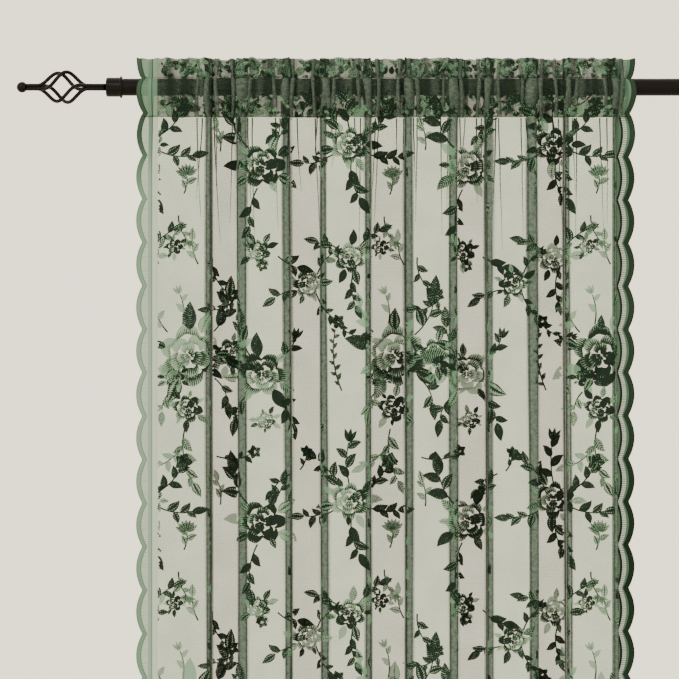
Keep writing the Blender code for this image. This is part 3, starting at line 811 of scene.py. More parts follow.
def leaf_hatch(length, place):
    """UV of leaves. Across: hatching slants back from the midrib. Down: how far the leaf fades. In two
    leaves of five the rim and the midrib are closed and the halves open; in the others one half fades
    more."""
    length, place = lifted(length, place)
    hatch = length * LEAF_S / HATCH - np.abs(LEAF_T) * 1.2
    shaded = 0.55 + 0.5 * np.where(LEAF_T > 0, LEAF_T, -0.7 * LEAF_T) + 0.35 * (np.abs(LEAF_T) < 0.1)
    outlined = 0.30 + 1.15 * (np.abs(np.abs(LEAF_T) - 0.5) < 0.1) - 0.3 * LEAF_S
    return table_of(hatch, np.where(np.sin(613 * place) > 0.3, outlined, shaded))


# A rose seen from the front. Each petal is a piece of a ring: bearing and half spread in degrees, inner and
# outer radius as shares of the rose's, and how dark it is: how closely it is knitted, with painted shade
# that makes the petals at the lower right darker.
Petal = namedtuple("Petal", "bearing spread inner outer shade")
ROSE = (
    Petal(95, 34, 0.66, 1.00, 0.62),
    Petal(158, 30, 0.62, 0.97, 0.50),
    Petal(218, 31, 0.64, 1.02, 0.72),
    Petal(279, 32, 0.66, 0.98, 0.85),
    Petal(338, 29, 0.63, 1.00, 0.92),
    Petal(32, 28, 0.62, 0.94, 0.70),
    Petal(60, 38, 0.40, 0.70, 0.48),
    Petal(135, 36, 0.38, 0.68, 0.42),
    Petal(205, 35, 0.40, 0.70, 0.62),
    Petal(275, 36, 0.40, 0.72, 0.78),
    Petal(345, 34, 0.38, 0.68, 0.80),
    Petal(100, 56, 0.16, 0.42, 0.55),
    Petal(218, 54, 0.17, 0.44, 0.66),
    Petal(338, 55, 0.16, 0.43, 0.88),
    Petal(40, 80, 0.03, 0.19, 0.85),
    Petal(220, 80, 0.03, 0.19, 0.75),
)


def rose_shapes(x, z, radius, turn, flat):
    """Petals of roses as flat grids. A petal runs from its inner to its outer radius, bulges outwards in
    the middle and draws in at its outer corners; flat squashes the whole rose in height."""
    bearing, spread, inner, outer, _ = np.array(ROSE, float).T[:, :, None, None]
    x, z, radius, turn, flat = (column[:, None] for column in lifted(x, z, radius, turn, flat))
    bow = 1.0 - 0.26 * PETAL_T**2 * (0.35 + 0.65 * PETAL_S)
    reach = (inner + (outer - inner) * PETAL_S) * bow + 0.018 * np.sin(7 * PETAL_T + bearing)
    around = np.radians(bearing + turn + spread * PETAL_T * (1.0 - 0.14 * PETAL_S**2))
    px = x + radius * reach * np.cos(around)
    pz = z + radius * reach * np.sin(around) * flat
    return px.reshape(-1, *PETAL_S.shape), pz.reshape(-1, *PETAL_S.shape)


def on_front(x, z, off):
    """Points on the cloth that shows from the front, for flat shapes given along the rod and in height."""
    across, down = DRAPE.from_front(x, z)
    return DRAPE.surface(across, down, off)


# ------------------------------------------------------------------------------------ layout of the figures

# The repeat of the pattern as it hangs, and the figures of one repeat: along the rod from its middle and up
# from its axis. Turn, angle and bend are in degrees; shade runs from 0, open, to 1, closed.
REPEAT_ACROSS = 303 * MM
REPEAT_DOWN = 524 * MM

LEAF_SCALE = 1.25
ROSE_SCALE = 1.12
ROUND_ROSE = 7  # leaves behind each rose
STEM_CURL = 1.5  # how much more a stem turns than its row says
Rose = namedtuple("Rose", "x z radius turn flat")
ROSES = (
    Rose(-290, -396, 42, 0, 1.00),
    Rose(-293, -474, 21, 70, 0.90),
    Rose(-183, -117, 31, 25, 0.95),
    Rose(-184, -424, 34, 140, 0.90),
    Rose(-117, -291, 20, 200, 0.95),
    Rose(-54, -252, 23, 300, 0.90),
    Rose(-55, -610, 27, 50, 0.95),
    Rose(-178, -492, 14, 10, 0.90),
    Rose(-189, -243, 17, 60, 0.95),
    Rose(-232, -394, 21, 190, 1.00),
    Rose(-10, -428, 15, 20, 0.90),
    Rose(-312, -236, 12, 80, 0.90),
)

# Sprays of leaves: a stem that starts at a place, runs at an angle for a length and turns by bend, with
# leaves on both sides, and a blossom, bud or leaf at its end.
Spray = namedtuple("Spray", "x z angle length bend leaves leaf shade end")
SPRAYS = (
    Spray(-262, -366, 62, 62, 30, 3, 25, 0.80, "leaf"),
    Spray(-322, -362, 118, 40, -20, 3, 17, 0.30, "leaf"),
    Spray(-300, -350, 95, 44, 25, 2, 15, 0.28, "bud"),
    Spray(-248, -400, -20, 34, 20, 2, 19, 0.85, "leaf"),
    Spray(-255, -430, -60, 40, -30, 2, 20, 0.80, "leaf"),
    Spray(-318, -450, -115, 30, 30, 2, 17, 0.55, "leaf"),
    Spray(-297, -505, -82, 78, 28, 6, 19, 0.62, "leaf"),
    Spray(-300, -530, -140, 44, -20, 4, 17, 0.45, "leaf"),
    Spray(-258, -252, -62, 66, 46, 5, 15, 0.85, "blossom"),
    Spray(-222, -308, -150, 44, -40, 4, 14, 0.80, "leaf"),
    Spray(-277, -262, 105, 34, -20, 3, 15, 0.45, "leaf"),
    Spray(-298, -158, 80, 26, 20, 3, 15, 0.60, "carnation"),
    Spray(-306, -190, -70, 40, 30, 4, 14, 0.55, "bud"),
    Spray(-204, -90, 118, 46, -25, 3, 27, 0.85, "leaf"),
    Spray(-168, -90, 62, 30, 20, 2, 18, 0.80, "leaf"),
    Spray(-190, -150, -100, 66, 24, 4, 20, 0.88, "leaf"),
    Spray(-190, -226, -80, 40, -35, 2, 12, 0.85, "blossom"),
    Spray(-160, -250, -30, 30, 20, 2, 20, 0.90, "leaf"),
    Spray(-200, -398, 110, 44, -20, 3, 24, 0.75, "leaf"),
    Spray(-160, -402, 50, 40, 30, 3, 18, 0.85, "bud"),
    Spray(-205, -455, -120, 40, 30, 3, 20, 0.85, "leaf"),
    Spray(-165, -455, -58, 46, -26, 3, 21, 0.90, "leaf"),
    Spray(-134, -300, -160, 30, 20, 2, 18, 0.80, "leaf"),
    Spray(-104, -304, -52, 54, 30, 5, 14, 0.90, "blossom"),
    Spray(-102, -276, 52, 40, -30, 3, 15, 0.85, "bud"),
    Spray(-76, -344, -30, 52, 40, 5, 12, 0.92, "bud"),
    Spray(-72, -240, 155, 30, 20, 3, 17, 0.80, "leaf"),
    Spray(-40, -236, 40, 36, -20, 3, 17, 0.82, "leaf"),
    Spray(-50, -278, -85, 44, 25, 4, 17, 0.85, "leaf"),
    Spray(-66, -448, 96, 92, -24, 11, 10, 0.80, "bud"),
    Spray(-66, -600, 126, 62, 25, 4, 22, 0.85, "leaf"),
    Spray(-54, -590, 92, 66, -16, 4, 22, 0.88, "bud"),
    Spray(-36, -598, 48, 62, 30, 5, 19, 0.85, "blossom"),
    Spray(-30, -620, -8, 46, 24, 4, 19, 0.85, "leaf"),
    Spray(-78, -624, -165, 44, -22, 4, 18, 0.80, "leaf"),
    Spray(-52, -636, -78, 52, 26, 4, 22, 0.88, "leaf"),
    Spray(-252, -546, 8, 60, 34, 5, 14, 0.88, "blossom"),
    Spray(-128, -566, 70, 30, 30, 3, 12, 0.85, "blossom"),
    Spray(-140, -570, -140, 36, 22, 3, 14, 0.85, "leaf"),
    Spray(-246, -618, 95, 34, 18, 3, 14, 0.55, "leaf"),
)

# What a spray ends in: leaves at its tip, angle between them, their length as a share of the spray's
# leaves, and their width as a share of their length.
Tip = namedtuple("Tip", "kind count spread size thick")
TIPS = (
    Tip("leaf", 1, 0.0, 1.1, 0.46),
    Tip("bud", 3, 0.42, 0.75, 0.34),
    Tip("blossom", 5, math.tau / 5, 0.55, 0.80),
    Tip("carnation", 7, 0.34, 0.95, 0.42),
)
TIP_LEAST = 13 * MM  # a tip's leaves are sized as for a spray with leaves at least so long
TIP_STEP = 1.4 * MM  # from the end of the stem to where they start


def repeats(table):
    """The rows of a layout table as numbers and words, once for every repeat that reaches the cloth."""
    numbers = np.array([[value for value in row if not isinstance(value, str)] for row in table], float)
    words = np.array([[value for value in row if isinstance(value, str)] for row in table])
    out, out_words = [], []
    for right in range(-1, 4):
        for down in range(-1, 5):
            moved = numbers.copy()
            moved[:, 0] = moved[:, 0] * MM + right * REPEAT_ACROSS
            moved[:, 1] = moved[:, 1] * MM - down * REPEAT_DOWN
            inside = (np.abs(moved[:, 0]) < HUNG_WIDTH / 2 + 10 * MM) & (moved[:, 1] < UPPER_SEAM)
            inside &= moved[:, 1] > HEM + 24 * MM
            out.append(moved[inside])
            out_words.append(words[inside])
    return np.concatenate(out), np.concatenate(out_words)


def within(x, z, length):
    """Whether shapes starting at (x, z) stay between the heading and the hem."""
    return (z < LOWER_SEAM + 22 * MM) & (z - length > HEM + 4 * MM)


def arc_place(x, z, way, length, bend, share):
    """Place at a share of an arc that sets out along way and turns evenly by bend: the integral of the
    cosine and the sine of its heading."""
    radius, ahead = length / bend, way + bend * share
    return x + radius * (np.sin(ahead) - np.sin(way)), z - radius * (np.cos(ahead) - np.cos(way))


def spray_parts():
    """Leaves, stems, blossoms and buds of all sprays: arrays for leaf_shapes, and the stems' flat grids.
    Leaves lean out to both sides in turn and shrink towards the tip; a stem narrows evenly."""
    rows, ends = repeats(SPRAYS)
    x, z, angle, length, bend, leaves, leaf, shade = (column[:, None] for column in rows.T)
    angle, length, leaf = np.radians(angle), length * MM, leaf * LEAF_SCALE * MM
    bend = np.radians(bend) * STEM_CURL
    way = angle - bend / 2
    number = np.arange(int(leaves.max()))
    share = np.clip((number + 1.0) / (leaves + 0.6), 0.0, 1.0)
    leaf_x, leaf_z = arc_place(x, z, way, length, bend, share)
    side = np.where(number % 2 == 0, 1.0, -1.0)
    out = way + bend * share + side * (np.radians(46) + 0.25 * np.sin(5.3 * number + 31 * x))
    sizes = leaf * (1.0 - 0.22 * share) * (1.0 + 0.12 * np.sin(3.1 * number + 47 * z))
    leaf_rows = [table_of(leaf_x, leaf_z, out, sizes, sizes * 0.5, side * 0.7, shade)[number < leaves]]

    tip_x, tip_z = arc_place(x, z, way, length, bend, 1.0)
    for tip in TIPS:
        chosen = ends[:, 0] == tip.kind
        out = (way + bend)[chosen] + (np.arange(tip.count) - (tip.count - 1) / 2) * tip.spread
        start_x = tip_x[chosen] + TIP_STEP * np.cos(out)
        start_z = tip_z[chosen] + TIP_STEP * np.sin(out)
        size = np.maximum(leaf[chosen], TIP_LEAST) * tip.size
        tips = table_of(start_x, start_z, out, size, size * tip.thick, 0.0, shade[chosen])
        leaf_rows.append(tips.reshape(-1, 7))

    s, t = unit_grid(17, 3)
    x, z, way, length, bend = (column[..., None] for column in (x, z, way, length, bend))
    line_x, line_z = arc_place(x, z, way, length, bend, s)
    ahead = way + bend * s
    half = (1.15 * MM - 0.45 * MM * s) * t
    stems = (line_x - np.sin(ahead) * half, line_z + np.cos(ahead) * half, shade[..., None])
    return np.concatenate(leaf_rows), stems


# ----------------------------------------------------------------------------------------------- the pieces


def make_ground(finish):
    """The net itself, from its end behind the lower seam over the top edge and down to the hem."""
    columns = cloth_columns()
    ground = cloth_grid("lace_ground", *np.meshgrid(columns, DRAPE.way), 0.0, finish)
    turned_up = FINISHED_LENGTH - np.linspace(0.0, 1.0, 4) * HEM_DEPTH
    return ground, cloth_grid("turned_up_hem", *np.meshgrid(columns, turned_up), HEM_OFF, finish)


def make_borders(finish):
    """The knitted-in side borders: a closed band along the scallops, a pale track with fine rungs, a darker
    line and a veil. Each is a strip between two lines, which stand at a band's end plus its share of the
    notch."""
    fine = np.linspace(-FRONT_OF_SEAM, FINISHED_LENGTH, int((FINISHED_LENGTH + FRONT_OF_SEAM) / EDGING_STEP))
    bite = notch(fine)
    # Rungs across the pale track: loops 2 mm apart in such an edging, drawn 3.2 mm apart so that they show.
    rung = np.arange(-FRONT_OF_SEAM + 2 * MM, FINISHED_LENGTH - 2 * MM, SCALLOP / RUNGS)[:, None, None]
    beside = 1.0 - smooth((np.abs(fine) - 130 * MM) / (90 * MM))
    share = np.linspace(0.0, 1.0, 3)
    wide, thick = np.meshgrid(share, np.array([-0.5, 0.5]) * RUNG)
    made = []
    for right, bands in ((False, LEFT_BANDS), (True, RIGHT_BANDS)):
        # Painted shade: the right edging is darker all the way down.
        tone = EDGING_TONE + HEADING_TONE * beside + RIGHT_PAINTED_SHADE * right * (1.0 - beside)
        tone = tone + 0.03 * np.sin(9.1 * fine + right)
        outer = bite
        for band in bands:
            inner = band.end + band.follow * bite
            across = outer[:, None] + (inner - outer)[:, None] * share
            uv = table_of(across / MM, fine[:, None] / MM)
            if right:
                across, uv = FLAT_WIDTH - across[:, ::-1], uv[:, ::-1]
            down = np.broadcast_to(fine[:, None], across.shape)
            shades = (band.shade + band.tone * tone)[:, None]
            made.append((DRAPE.surface(across, down)[None], uv[None], shades))
            outer = inner
        outer, inner = (band.end + band.follow * notch(rung) for band in bands[TRACK - 1 : TRACK + 1])
        across = outer + (inner - outer) * wide
        if right:
            across = FLAT_WIDTH - across[:, :, ::-1]
        rungs = DRAPE.surface(across, rung + thick + 0 * across, LINE_OFF)
        made.append((rungs, (0.0, 0.0), RUNG_SHADES[right]))
    return join_grids("side_borders", made, finish)


def make_crease_shade_lines(finish):
    """Dark lines painted for fine creases that run down from the gathers below the lower seam, drift sideways
    and fade, as their shade and their closer net: each is a ribbon that narrows to two fifths of its width
    along a slightly bent line, drift * s^1.4."""
    generator = np.random.default_rng(21)
    beside = (-17, -8, 8, 17)
    count = len(beside) * len(FOLDS)
    start = np.repeat([fold.heading_x for fold in FOLDS], len(beside))
    start = start + np.tile(beside, len(FOLDS)) * MM + generator.uniform(-4, 4, count) * MM
    length = generator.uniform(60, 210, count)
    drift = generator.uniform(-9, 9, count)
    start, length, drift = lifted(start, length * MM, drift * MM)
    s, t = unit_grid(22, 3)
    x = start + drift * s**1.4 + CREASE_WIDTH / 2 * t * (1.0 - 0.6 * s)
    z = LOWER_SEAM - 1 * MM - length * s
    batches = [(on_front(x, z, LINE_OFF), table_of(0.25, 0.62 + 0.6 * s), 0.56)]
    return join_grids("crease_shade_lines", batches, finish, TEAR)


def make_pleat_rolls(finish):
    """Soft rolls of the gathered net that stand out in front of the rod pocket and the heading, where the
    folds start: each follows the pocket's wall from the top edge to the lower seam, and bulges by 1 - t^2 of
    its depth at the share t of its half width."""
    generator = np.random.default_rng(5)
    places, widths = [], []
    for fold in FOLDS:
        places += [fold.heading_x, fold.heading_x + 13 * MM, fold.heading_x - 14 * MM]
        widths += [max(fold.overlap, 9 * MM), 6 * MM, 5.5 * MM]
    places = np.array(places) + generator.uniform(-2, 2, len(places)) * MM
    place, width, closing = lifted(places, widths, [1.9, 1.3, 1.3] * len(FOLDS))
    s, t = unit_grid(30, 9)
    way = FRONT_OF_SEAM * s
    height = np.interp(way, DRAPE.way, DRAPE.height)
    pocket = np.clip((way - FLAT_HEADING) / FLAT_POCKET, 0.0, 1.0)
    stand = np.interp(pocket, [wall.share for wall in POCKET], [wall.stand for wall in POCKET])
    pinch = 1.0 - 0.35 * np.exp(-(((way - FLAT_HEADING) / (7 * MM)) ** 2))
    half = width / 2 * pinch * (1.0 + 0.18 * np.sin(9 * s + place * 70))
    x = place + half * t + 1.6 * MM * np.sin(5 * s + place * 90)
    y = -(stand + ROLL_OFF) - ROLL_BULGE * (1.0 - t**2) * np.sin(math.pi * (0.12 + 0.76 * s))
    closing = closing + 2.5 * np.abs(t) ** 4
    # Painted shade: a roll is drawn darker towards its right side and at both edges, so that it looks round.
    deep = 0.52 + 0.28 * smooth((t + 0.3) / 1.2) + 0.20 * np.abs(t) ** 4 + 0 * x
    batches = [(table_of(x, y, height), table_of(place / MM + 6 * t, way / MM), 0.0)]
    return join_grids("pleat_rolls", batches, finish, values={"gather": closing, "deep": deep})


def whole_roses():
    """The roses of all repeats that stand clear of the heading and the hem."""
    rows, _ = repeats(ROSES)
    rows[:, 2] *= ROSE_SCALE
    return rows[(rows[:, 1] < LOWER_SEAM) & (rows[:, 1] - rows[:, 2] * MM > HEM + 10 * MM)]


def leaves_round_roses():
    """Leaves that stick out from behind each rose, evenly round it but for a small sine, in the columns of
    leaf_shapes and a shade."""
    x, z, radius, turn, flat = (column[:, None] for column in whole_roses().T)
    number = np.arange(ROUND_ROSE)
    way = np.radians(turn + number * 360 / ROUND_ROSE + 14 * np.sin(2.3 * number + 0.1 * turn))
    reach = radius * MM * 0.78
    start_x, start_z = x + reach * np.cos(way), z + reach * flat * np.sin(way)
    length = radius * MM * (0.72 + 0.25 * np.sin(4.1 * number + 90 * x))
    bend = 0.6 * np.sin(5 * number + x)
    shade = 0.62 + 0.33 * np.sin(1.9 * number + 40 * z)
    return table_of(start_x, start_z, way, length, 0.5 * length, bend, shade).reshape(-1, 7)


def make_roses(finish):
    """The roses, a grid for each petal. Its shade is the petal's own plus a sine of the rose's place; its
    hatching runs round the rose, and it fades evenly from its inner to its outer edge, so that its dark
    inner edge is painted shadow of the petal over it."""
    x, z, radius, turn, flat = whole_roses().T
    px, pz = rose_shapes(x, z, radius * MM, turn, flat)
    shade = np.tile([petal.shade for petal in ROSE], len(x))
    shade = np.clip(shade + np.repeat(0.22 * np.sin(17 * x + 23 * z), len(ROSE)), 0.1, 1.0)
    spread = np.tile([math.radians(petal.spread) * (petal.inner + petal.outer) for petal in ROSE], len(x))
    shade, size, spread = lifted(shade, np.repeat(radius, len(ROSE)), spread)
    # Painted shadow: the fade runs from 0.25 at a petal's inner edge, where it is darkest, to 1.15 at its
    # outer one.
    uv = table_of(PETAL_T * spread * size / PETAL_HATCH, 0.25 + 0.9 * PETAL_S)
    return join_grids("knitted_roses", [(on_front(px, pz, FIGURE_OFF), uv, shade)], finish, TEAR)


def make_leaves(finish):
    """The leaves of the sprays and those round the roses, and the stems, as two pieces."""
    leaf_rows, (stem_x, stem_z, stem_shade) = spray_parts()
    leaf_rows = np.concatenate([leaf_rows, leaves_round_roses()])
    leaf_rows = leaf_rows[within(leaf_rows[:, 0], leaf_rows[:, 1], leaf_rows[:, 3])]
    x, z, angle, length, width, bend, shade = leaf_rows.T
    px, pz = leaf_shapes(x, z, angle, length, width, bend)
    batches = [(on_front(px, pz, LEAF_OFF), leaf_hatch(length, x), *lifted(shade))]
    leaves = join_grids("knitted_leaves", batches, finish, TEAR)
    keep = within(stem_x.mean(axis=(1, 2)), stem_z.min(axis=(1, 2)), 0.0)
    batches = [(on_front(stem_x[keep], stem_z[keep], LINE_OFF), STEM_UV, stem_shade[keep])]
    return leaves, join_grids("knitted_stems", batches, finish, TEAR)


def strewn_leaves(generator, count, across, down, sizes, shades, over, off):
    """Small leaves strewn over a stretch of the cloth, as a batch for join_grids. Each number is drawn
    evenly between two ends. Leaves are cut off 2 mm outside the stretch at its sides, and over outside it
    above and below."""
    place = generator.uniform(*across, count)
    way = generator.uniform(*down, count)
    angle = generator.uniform(0, math.tau, count)
    length = generator.uniform(*sizes, count)
    width = length * generator.uniform(0.45, 0.7, count)
    bend = generator.uniform(-0.9, 0.9, count)
    px, pz = leaf_shapes(place, way, angle, length, width, bend)
    px = np.clip(px, across[0] - 2 * MM, across[1] + 2 * MM)
    pz = np.clip(pz, down[0] - over, down[1] + over)
    return DRAPE.surface(px, pz, off), leaf_hatch(length, place), *lifted(generator.uniform(*shades, count))


def make_heading_figures(finish):
    """The close band of leaves and petals knitted across the top of the panel, on both layers of the
    heading and the pocket, and the parts of the figures that lie inside the folds."""
    generator = np.random.default_rng(7)
    across = (BORDER + 2 * MM, FLAT_WIDTH - BORDER - 2 * MM)
    batches = []
    for low, high, count, longest in (
        (-FRONT_OF_SEAM, -2 * MM, 1000, 19 * MM),
        (2 * MM, FLAT_HEADING, 950, 13 * MM),
        (FLAT_HEADING + 44 * MM, FRONT_OF_SEAM, 900, 13 * MM),
    ):
        sizes = (6 * MM, longest)
        strewn = strewn_leaves(generator, count, across, (low, high), sizes, (0.35, 1.0), 0.0, HEADING_OFF)
        batches.append(strewn)
    heading = join_grids("heading_figures", batches, finish)

    batches = []
    down = (FRONT_OF_SEAM + 60 * MM, FINISHED_LENGTH - 40 * MM)
    sizes = (10 * MM, 26 * MM)
    for centre in CUT_FOLDS:
        across = (centre - FLANK / 2 - 2 * MM, centre + FLANK / 2 + 2 * MM)
        strewn = strewn_leaves(generator, FOLD_LEAVES, across, down, sizes, (0.3, 0.95), 30 * MM, FIGURE_OFF)
        batches.append(strewn)
    return heading, join_grids("fold_figures", batches, finish)


def make_seams(finish):
    """Lines of stitches through both layers at the upper and the lower seam, and along the hem: each stitch
    is a small bar, 2.4 mm long every 3 mm, that stands off the cloth by lift * (1 - 0.6 |t|) at the share t
    of its half width."""
    batches = []
    start = np.arange(BORDER * 0.4, FLAT_WIDTH - BORDER * 0.4, STITCH_STEP)[:, None, None]
    s, t = np.meshgrid(np.linspace(-0.5, 0.5, 4), np.linspace(-1.0, 1.0, 3))
    across = start + STITCH * s
    for down, lift, half in (
        (FLAT_HEADING, 0.5 * MM, 0.35 * MM),
        (FRONT_OF_SEAM - 1.5 * MM, 0.5 * MM, 0.7 * MM),
        (-FLAT_HEADING, 0.5 * MM, 0.35 * MM),
        (-FRONT_OF_SEAM + 1.5 * MM, 0.5 * MM, 0.35 * MM),
        (FINISHED_LENGTH - HEM_DEPTH + 2 * MM, 0.45 * MM, 0.35 * MM),
    ):
        off = (lift * (1.0 - 0.6 * np.abs(t)))[..., None]
        batches.append((DRAPE.surface(across, down + half * t + 0 * across, off), STITCH_UV, 0.9))
    return join_grids("seam_stitches", batches, finish)


# ------------------------------------------------------------------------------------------ rod and finials


def turned_surface(name, profile, finish, sides, x, side, closed=False):
    """A turned piece: each (radius, out) of the profile carried round the rod's axis. The profile starts
    and ends on the axis, or joins up with itself where it is closed."""
    profile = np.array(profile)
    if closed:
        profile = np.concatenate([profile, profile[:1]])
    angle = np.arange(sides) * math.tau / sides
    out = x + side * profile[:, 1]
    radius = profile[:, :1]
    points = table_of(out[:, None], radius * np.cos(angle), radius * np.sin(angle) * side).reshape(-1, 3)
    piece = mesh_piece(name, points, grid_faces(0, len(profile), sides, wrap=True), finish)
    tidy_surface(piece)
    return piece


def tidy_surface(piece):
    """Merges the doubled points of seams and poles, drops empty faces there, and turns faces outwards."""
    shape = bmesh.new()
    shape.from_mesh(piece.data)
    bmesh.ops.remove_doubles(shape, verts=shape.verts, dist=1e-6)
    bmesh.ops.dissolve_degenerate(shape, edges=shape.edges, dist=1e-7)
    bmesh.ops.recalc_face_normals(shape, faces=shape.faces)
    shape.to_mesh(piece.data)
    shape.free()
    piece.data.polygons.foreach_set("use_smooth", np.full(len(piece.data.polygons), True))


def rounded(profile, radius, steps=4):
    """The profile with its corners rounded: each corner becomes an arc of a parabola between the two points
    that lie radius away from it along its sides."""
    profile = np.array(profile, float)
    out = [profile[0]]
    for before, corner, after in zip(profile[:-2], profile[1:-1], profile[2:]):
        back, on = before - corner, after - corner
        reach = min(radius, 0.45 * np.linalg.norm(back), 0.45 * np.linalg.norm(on))
        start = corner + back / np.linalg.norm(back) * reach
        end = corner + on / np.linalg.norm(on) * reach
        for share in np.linspace(0.0, 1.0, steps + 1):
            out.append((1 - share) ** 2 * start + 2 * share * (1 - share) * corner + share**2 * end)
    out.append(profile[-1])
    return out


def tube_along(line, radius, sides):
    """Points of a round tube along a line, with a rounded cap at both ends. A frame is carried along the
    line by crossing each direction with one fixed direction that the line never takes."""
    ahead = np.gradient(line, axis=0)
    ahead /= np.linalg.norm(ahead, axis=1, keepdims=True)
    first = np.cross(ahead, np.array([0.0, 0.31, 0.95]))
    first /= np.linalg.norm(first, axis=1, keepdims=True)
    second = np.cross(ahead, first)
    cap = np.radians([0.0, 30.0, 60.0])
    before = line[0] - ahead[0] * (radius * CAP_FLATNESS * np.cos(cap))[:, None]
    after = line[-1] + ahead[-1] * (radius * CAP_FLATNESS * np.cos(cap[::-1]))[:, None]
    line = np.concatenate([before, line, after])
    radii = np.concatenate([np.sin(cap), np.ones(len(ahead)), np.sin(cap[::-1])]) * radius
    first = np.concatenate([first[:1]] * 3 + [first] + [first[-1:]] * 3)
    second = np.concatenate([second[:1]] * 3 + [second] + [second[-1:]] * 3)
    angle = np.arange(sides) * math.tau / sides
    ring = np.cos(angle)[None, :, None] * first[:, None] + np.sin(angle)[None, :, None] * second[:, None]
    return line[:, None, :] + radii[:, None, None] * ring


def make_rod(finish):
    """The rod: a steel tube with a rolled edge at both ends."""
    low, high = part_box("curtain_rod")
    outer = (high.z - low.z) / 2
    bore = outer - ROD_WALL
    length = high.x - low.x
    stations = np.linspace(ROD_EDGE, length - ROD_EDGE, 40)
    profile = [(outer, out) for out in stations]
    profile += [(outer - ROD_EDGE, length), (bore, length), (bore, 0.0), (outer - ROD_EDGE, 0.0)]
    rod = turned_surface("curtain_rod_tube", profile, finish, 72, low.x, 1, closed=True)
    dress(rod, "rod", "curtain_rod")


def make_finial(finish, label, side):
    """One finial: the collar over the rod's end, four wires twisted half a turn into a cage, and the
    ball."""
    low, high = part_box(f"{label}_collar")
    rim_x = high.x if side < 0 else low.x
    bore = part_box("curtain_rod")[1].z + GAP
    top = RIM_LENGTH + COLLAR_LENGTH
    body = [
        (0.0, top),
        (COLLAR_RADIUS - 3.6 * MM, top),
        (COLLAR_RADIUS - 1.2 * MM, top - 0.5 * MM),
        (COLLAR_RADIUS, top - 2.2 * MM),
        (COLLAR_RADIUS, RIM_LENGTH + 0.2 * MM),
        (RIM_RADIUS, RIM_LENGTH),
        (RIM_RADIUS, 0.0),
        (bore, 0.0),
        (bore, top - COLLAR_WALL),
        (0.0, top - COLLAR_WALL),
    ]
    collar = turned_surface(f"{label}_finial_collar", rounded(body, 0.7 * MM), finish, 64, rim_x, side)
    dress(collar, "finials", f"{label}_collar")

    # Share of the cage that a wire has passed: none of it in the tail, and all of it in the neck.
    start = rim_x + side * (top + GAP)
    share = np.concatenate([np.zeros(5), np.linspace(0.0, 1.0, 65), np.ones(4)])
    out = np.concatenate([np.linspace(0.0, 0.9, 5) * TAIL, TAIL + CAGE_LENGTH * np.linspace(0.0, 1.0, 65)])
    out = np.concatenate([out, TAIL + CAGE_LENGTH + NECK * np.linspace(0.2, 1.0, 4)])
    radius = BUNDLE_RADIUS + (CAGE_RADIUS - BUNDLE_RADIUS) * np.sin(math.pi * share) ** CAGE_SWELL
    points = []
    for number in range(CAGE_WIRES):
        angle = math.pi / 4 + number * math.tau / CAGE_WIRES - side * CAGE_TWIST * share
        line = table_of(start + side * out, radius * np.cos(angle), radius * np.sin(angle))
        points.append(tube_along(line, WIRE_RADIUS, WIRE_SIDES))
    rings = len(points[0])
    firsts = range(0, CAGE_WIRES * rings * WIRE_SIDES, rings * WIRE_SIDES)
    faces = np.concatenate([grid_faces(first, rings, WIRE_SIDES, wrap=True) for first in firsts])
    wires = mesh_piece(f"{label}_finial_cage", np.concatenate(points).reshape(-1, 3), faces, finish)
    tidy_surface(wires)
    dress(wires, "finials", *[f"{label}_cage_wire_{number + 1}" for number in range(CAGE_WIRES)])

    seat = start + side * (TAIL + CAGE_LENGTH + NECK + GAP)
    rise = math.sqrt(BALL_RADIUS**2 - BALL_SEAT**2)
    lowest = math.pi - math.asin(BALL_SEAT / BALL_RADIUS)
    around = np.linspace(0.0, lowest, 28)
    profile = np.stack([BALL_RADIUS * np.sin(around), rise + BALL_RADIUS * np.cos(around)], axis=-1)
    profile = np.concatenate([profile, [[0.0, 0.0]]])
    ball = turned_surface(f"{label}_finial_ball", profile, finish, 48, seat, side)
    dress(ball, "finials", f"{label}_ball")


# ------------------------------------------------------------------------------------------------ the stage


def make_stage(settings):
    """A pale floor just under the hem, soft studio lights, and a camera square to the heading."""
    x, y = np.meshgrid(*[np.linspace(-FLOOR_HALF, FLOOR_HALF, 9)] * 2)
    points = table_of(x, y, HEM - FLOOR_DROP).reshape(-1, 3)
    finish = finish_of("matt_painted_floor", painted_floor, settings.floor_colour)
    floor = mesh_piece("floor", points, grid_faces(0, *x.shape)[:, ::-1], finish)

    scene = bpy.context.scene
    world = bpy.data.worlds.new("pale_studio")
    world.use_nodes = True
    tree = world.node_tree
    # What stands behind the lace is as bright as a sunlit wall; the light on the room side is softer.
    strength = [add_node(tree, "LightPath"), BACKDROP_STRENGTH - ROOM_STRENGTH, ROOM_STRENGTH]
    strength = add_node(tree, "Math", strength, operation="MULTIPLY_ADD")
    background = tree.nodes["Background"]
    background.inputs["Color"].default_value = tuple(settings.wall_colour)
    tree.links.new(strength, background.inputs["Strength"])
    scene.world = world

    for light in LIGHTS:
        lamp = bpy.data.lights.new(light.name, "AREA")
        lamp.energy = light.power
        lamp.size = light.size
        lit = bpy.data.objects.new(light.name, lamp)
        lit.location = light.place
        direction = Vector(light.aim) - Vector(light.place)
        lit.rotation_mode = "QUATERNION"
        lit.rotation_quaternion = direction.to_track_quat("-Z", "Y")
        scene.collection.objects.link(lit)

    camera = bpy.data.cameras.new("front_camera")
    camera.sensor_width = 36.0
    camera.lens = camera.sensor_width * VIEW_DISTANCE / VIEW_WIDTH
    seen = bpy.data.objects.new("front_camera", camera)
    seen.location = (VIEW_X, -VIEW_DISTANCE, VIEW_Z)
    seen.rotation_euler = (math.pi / 2, 0.0, 0.0)
    scene.collection.objects.link(seen)
    scene.camera = seen


# ----------------------------------------------------------------------------------------------- the add-on


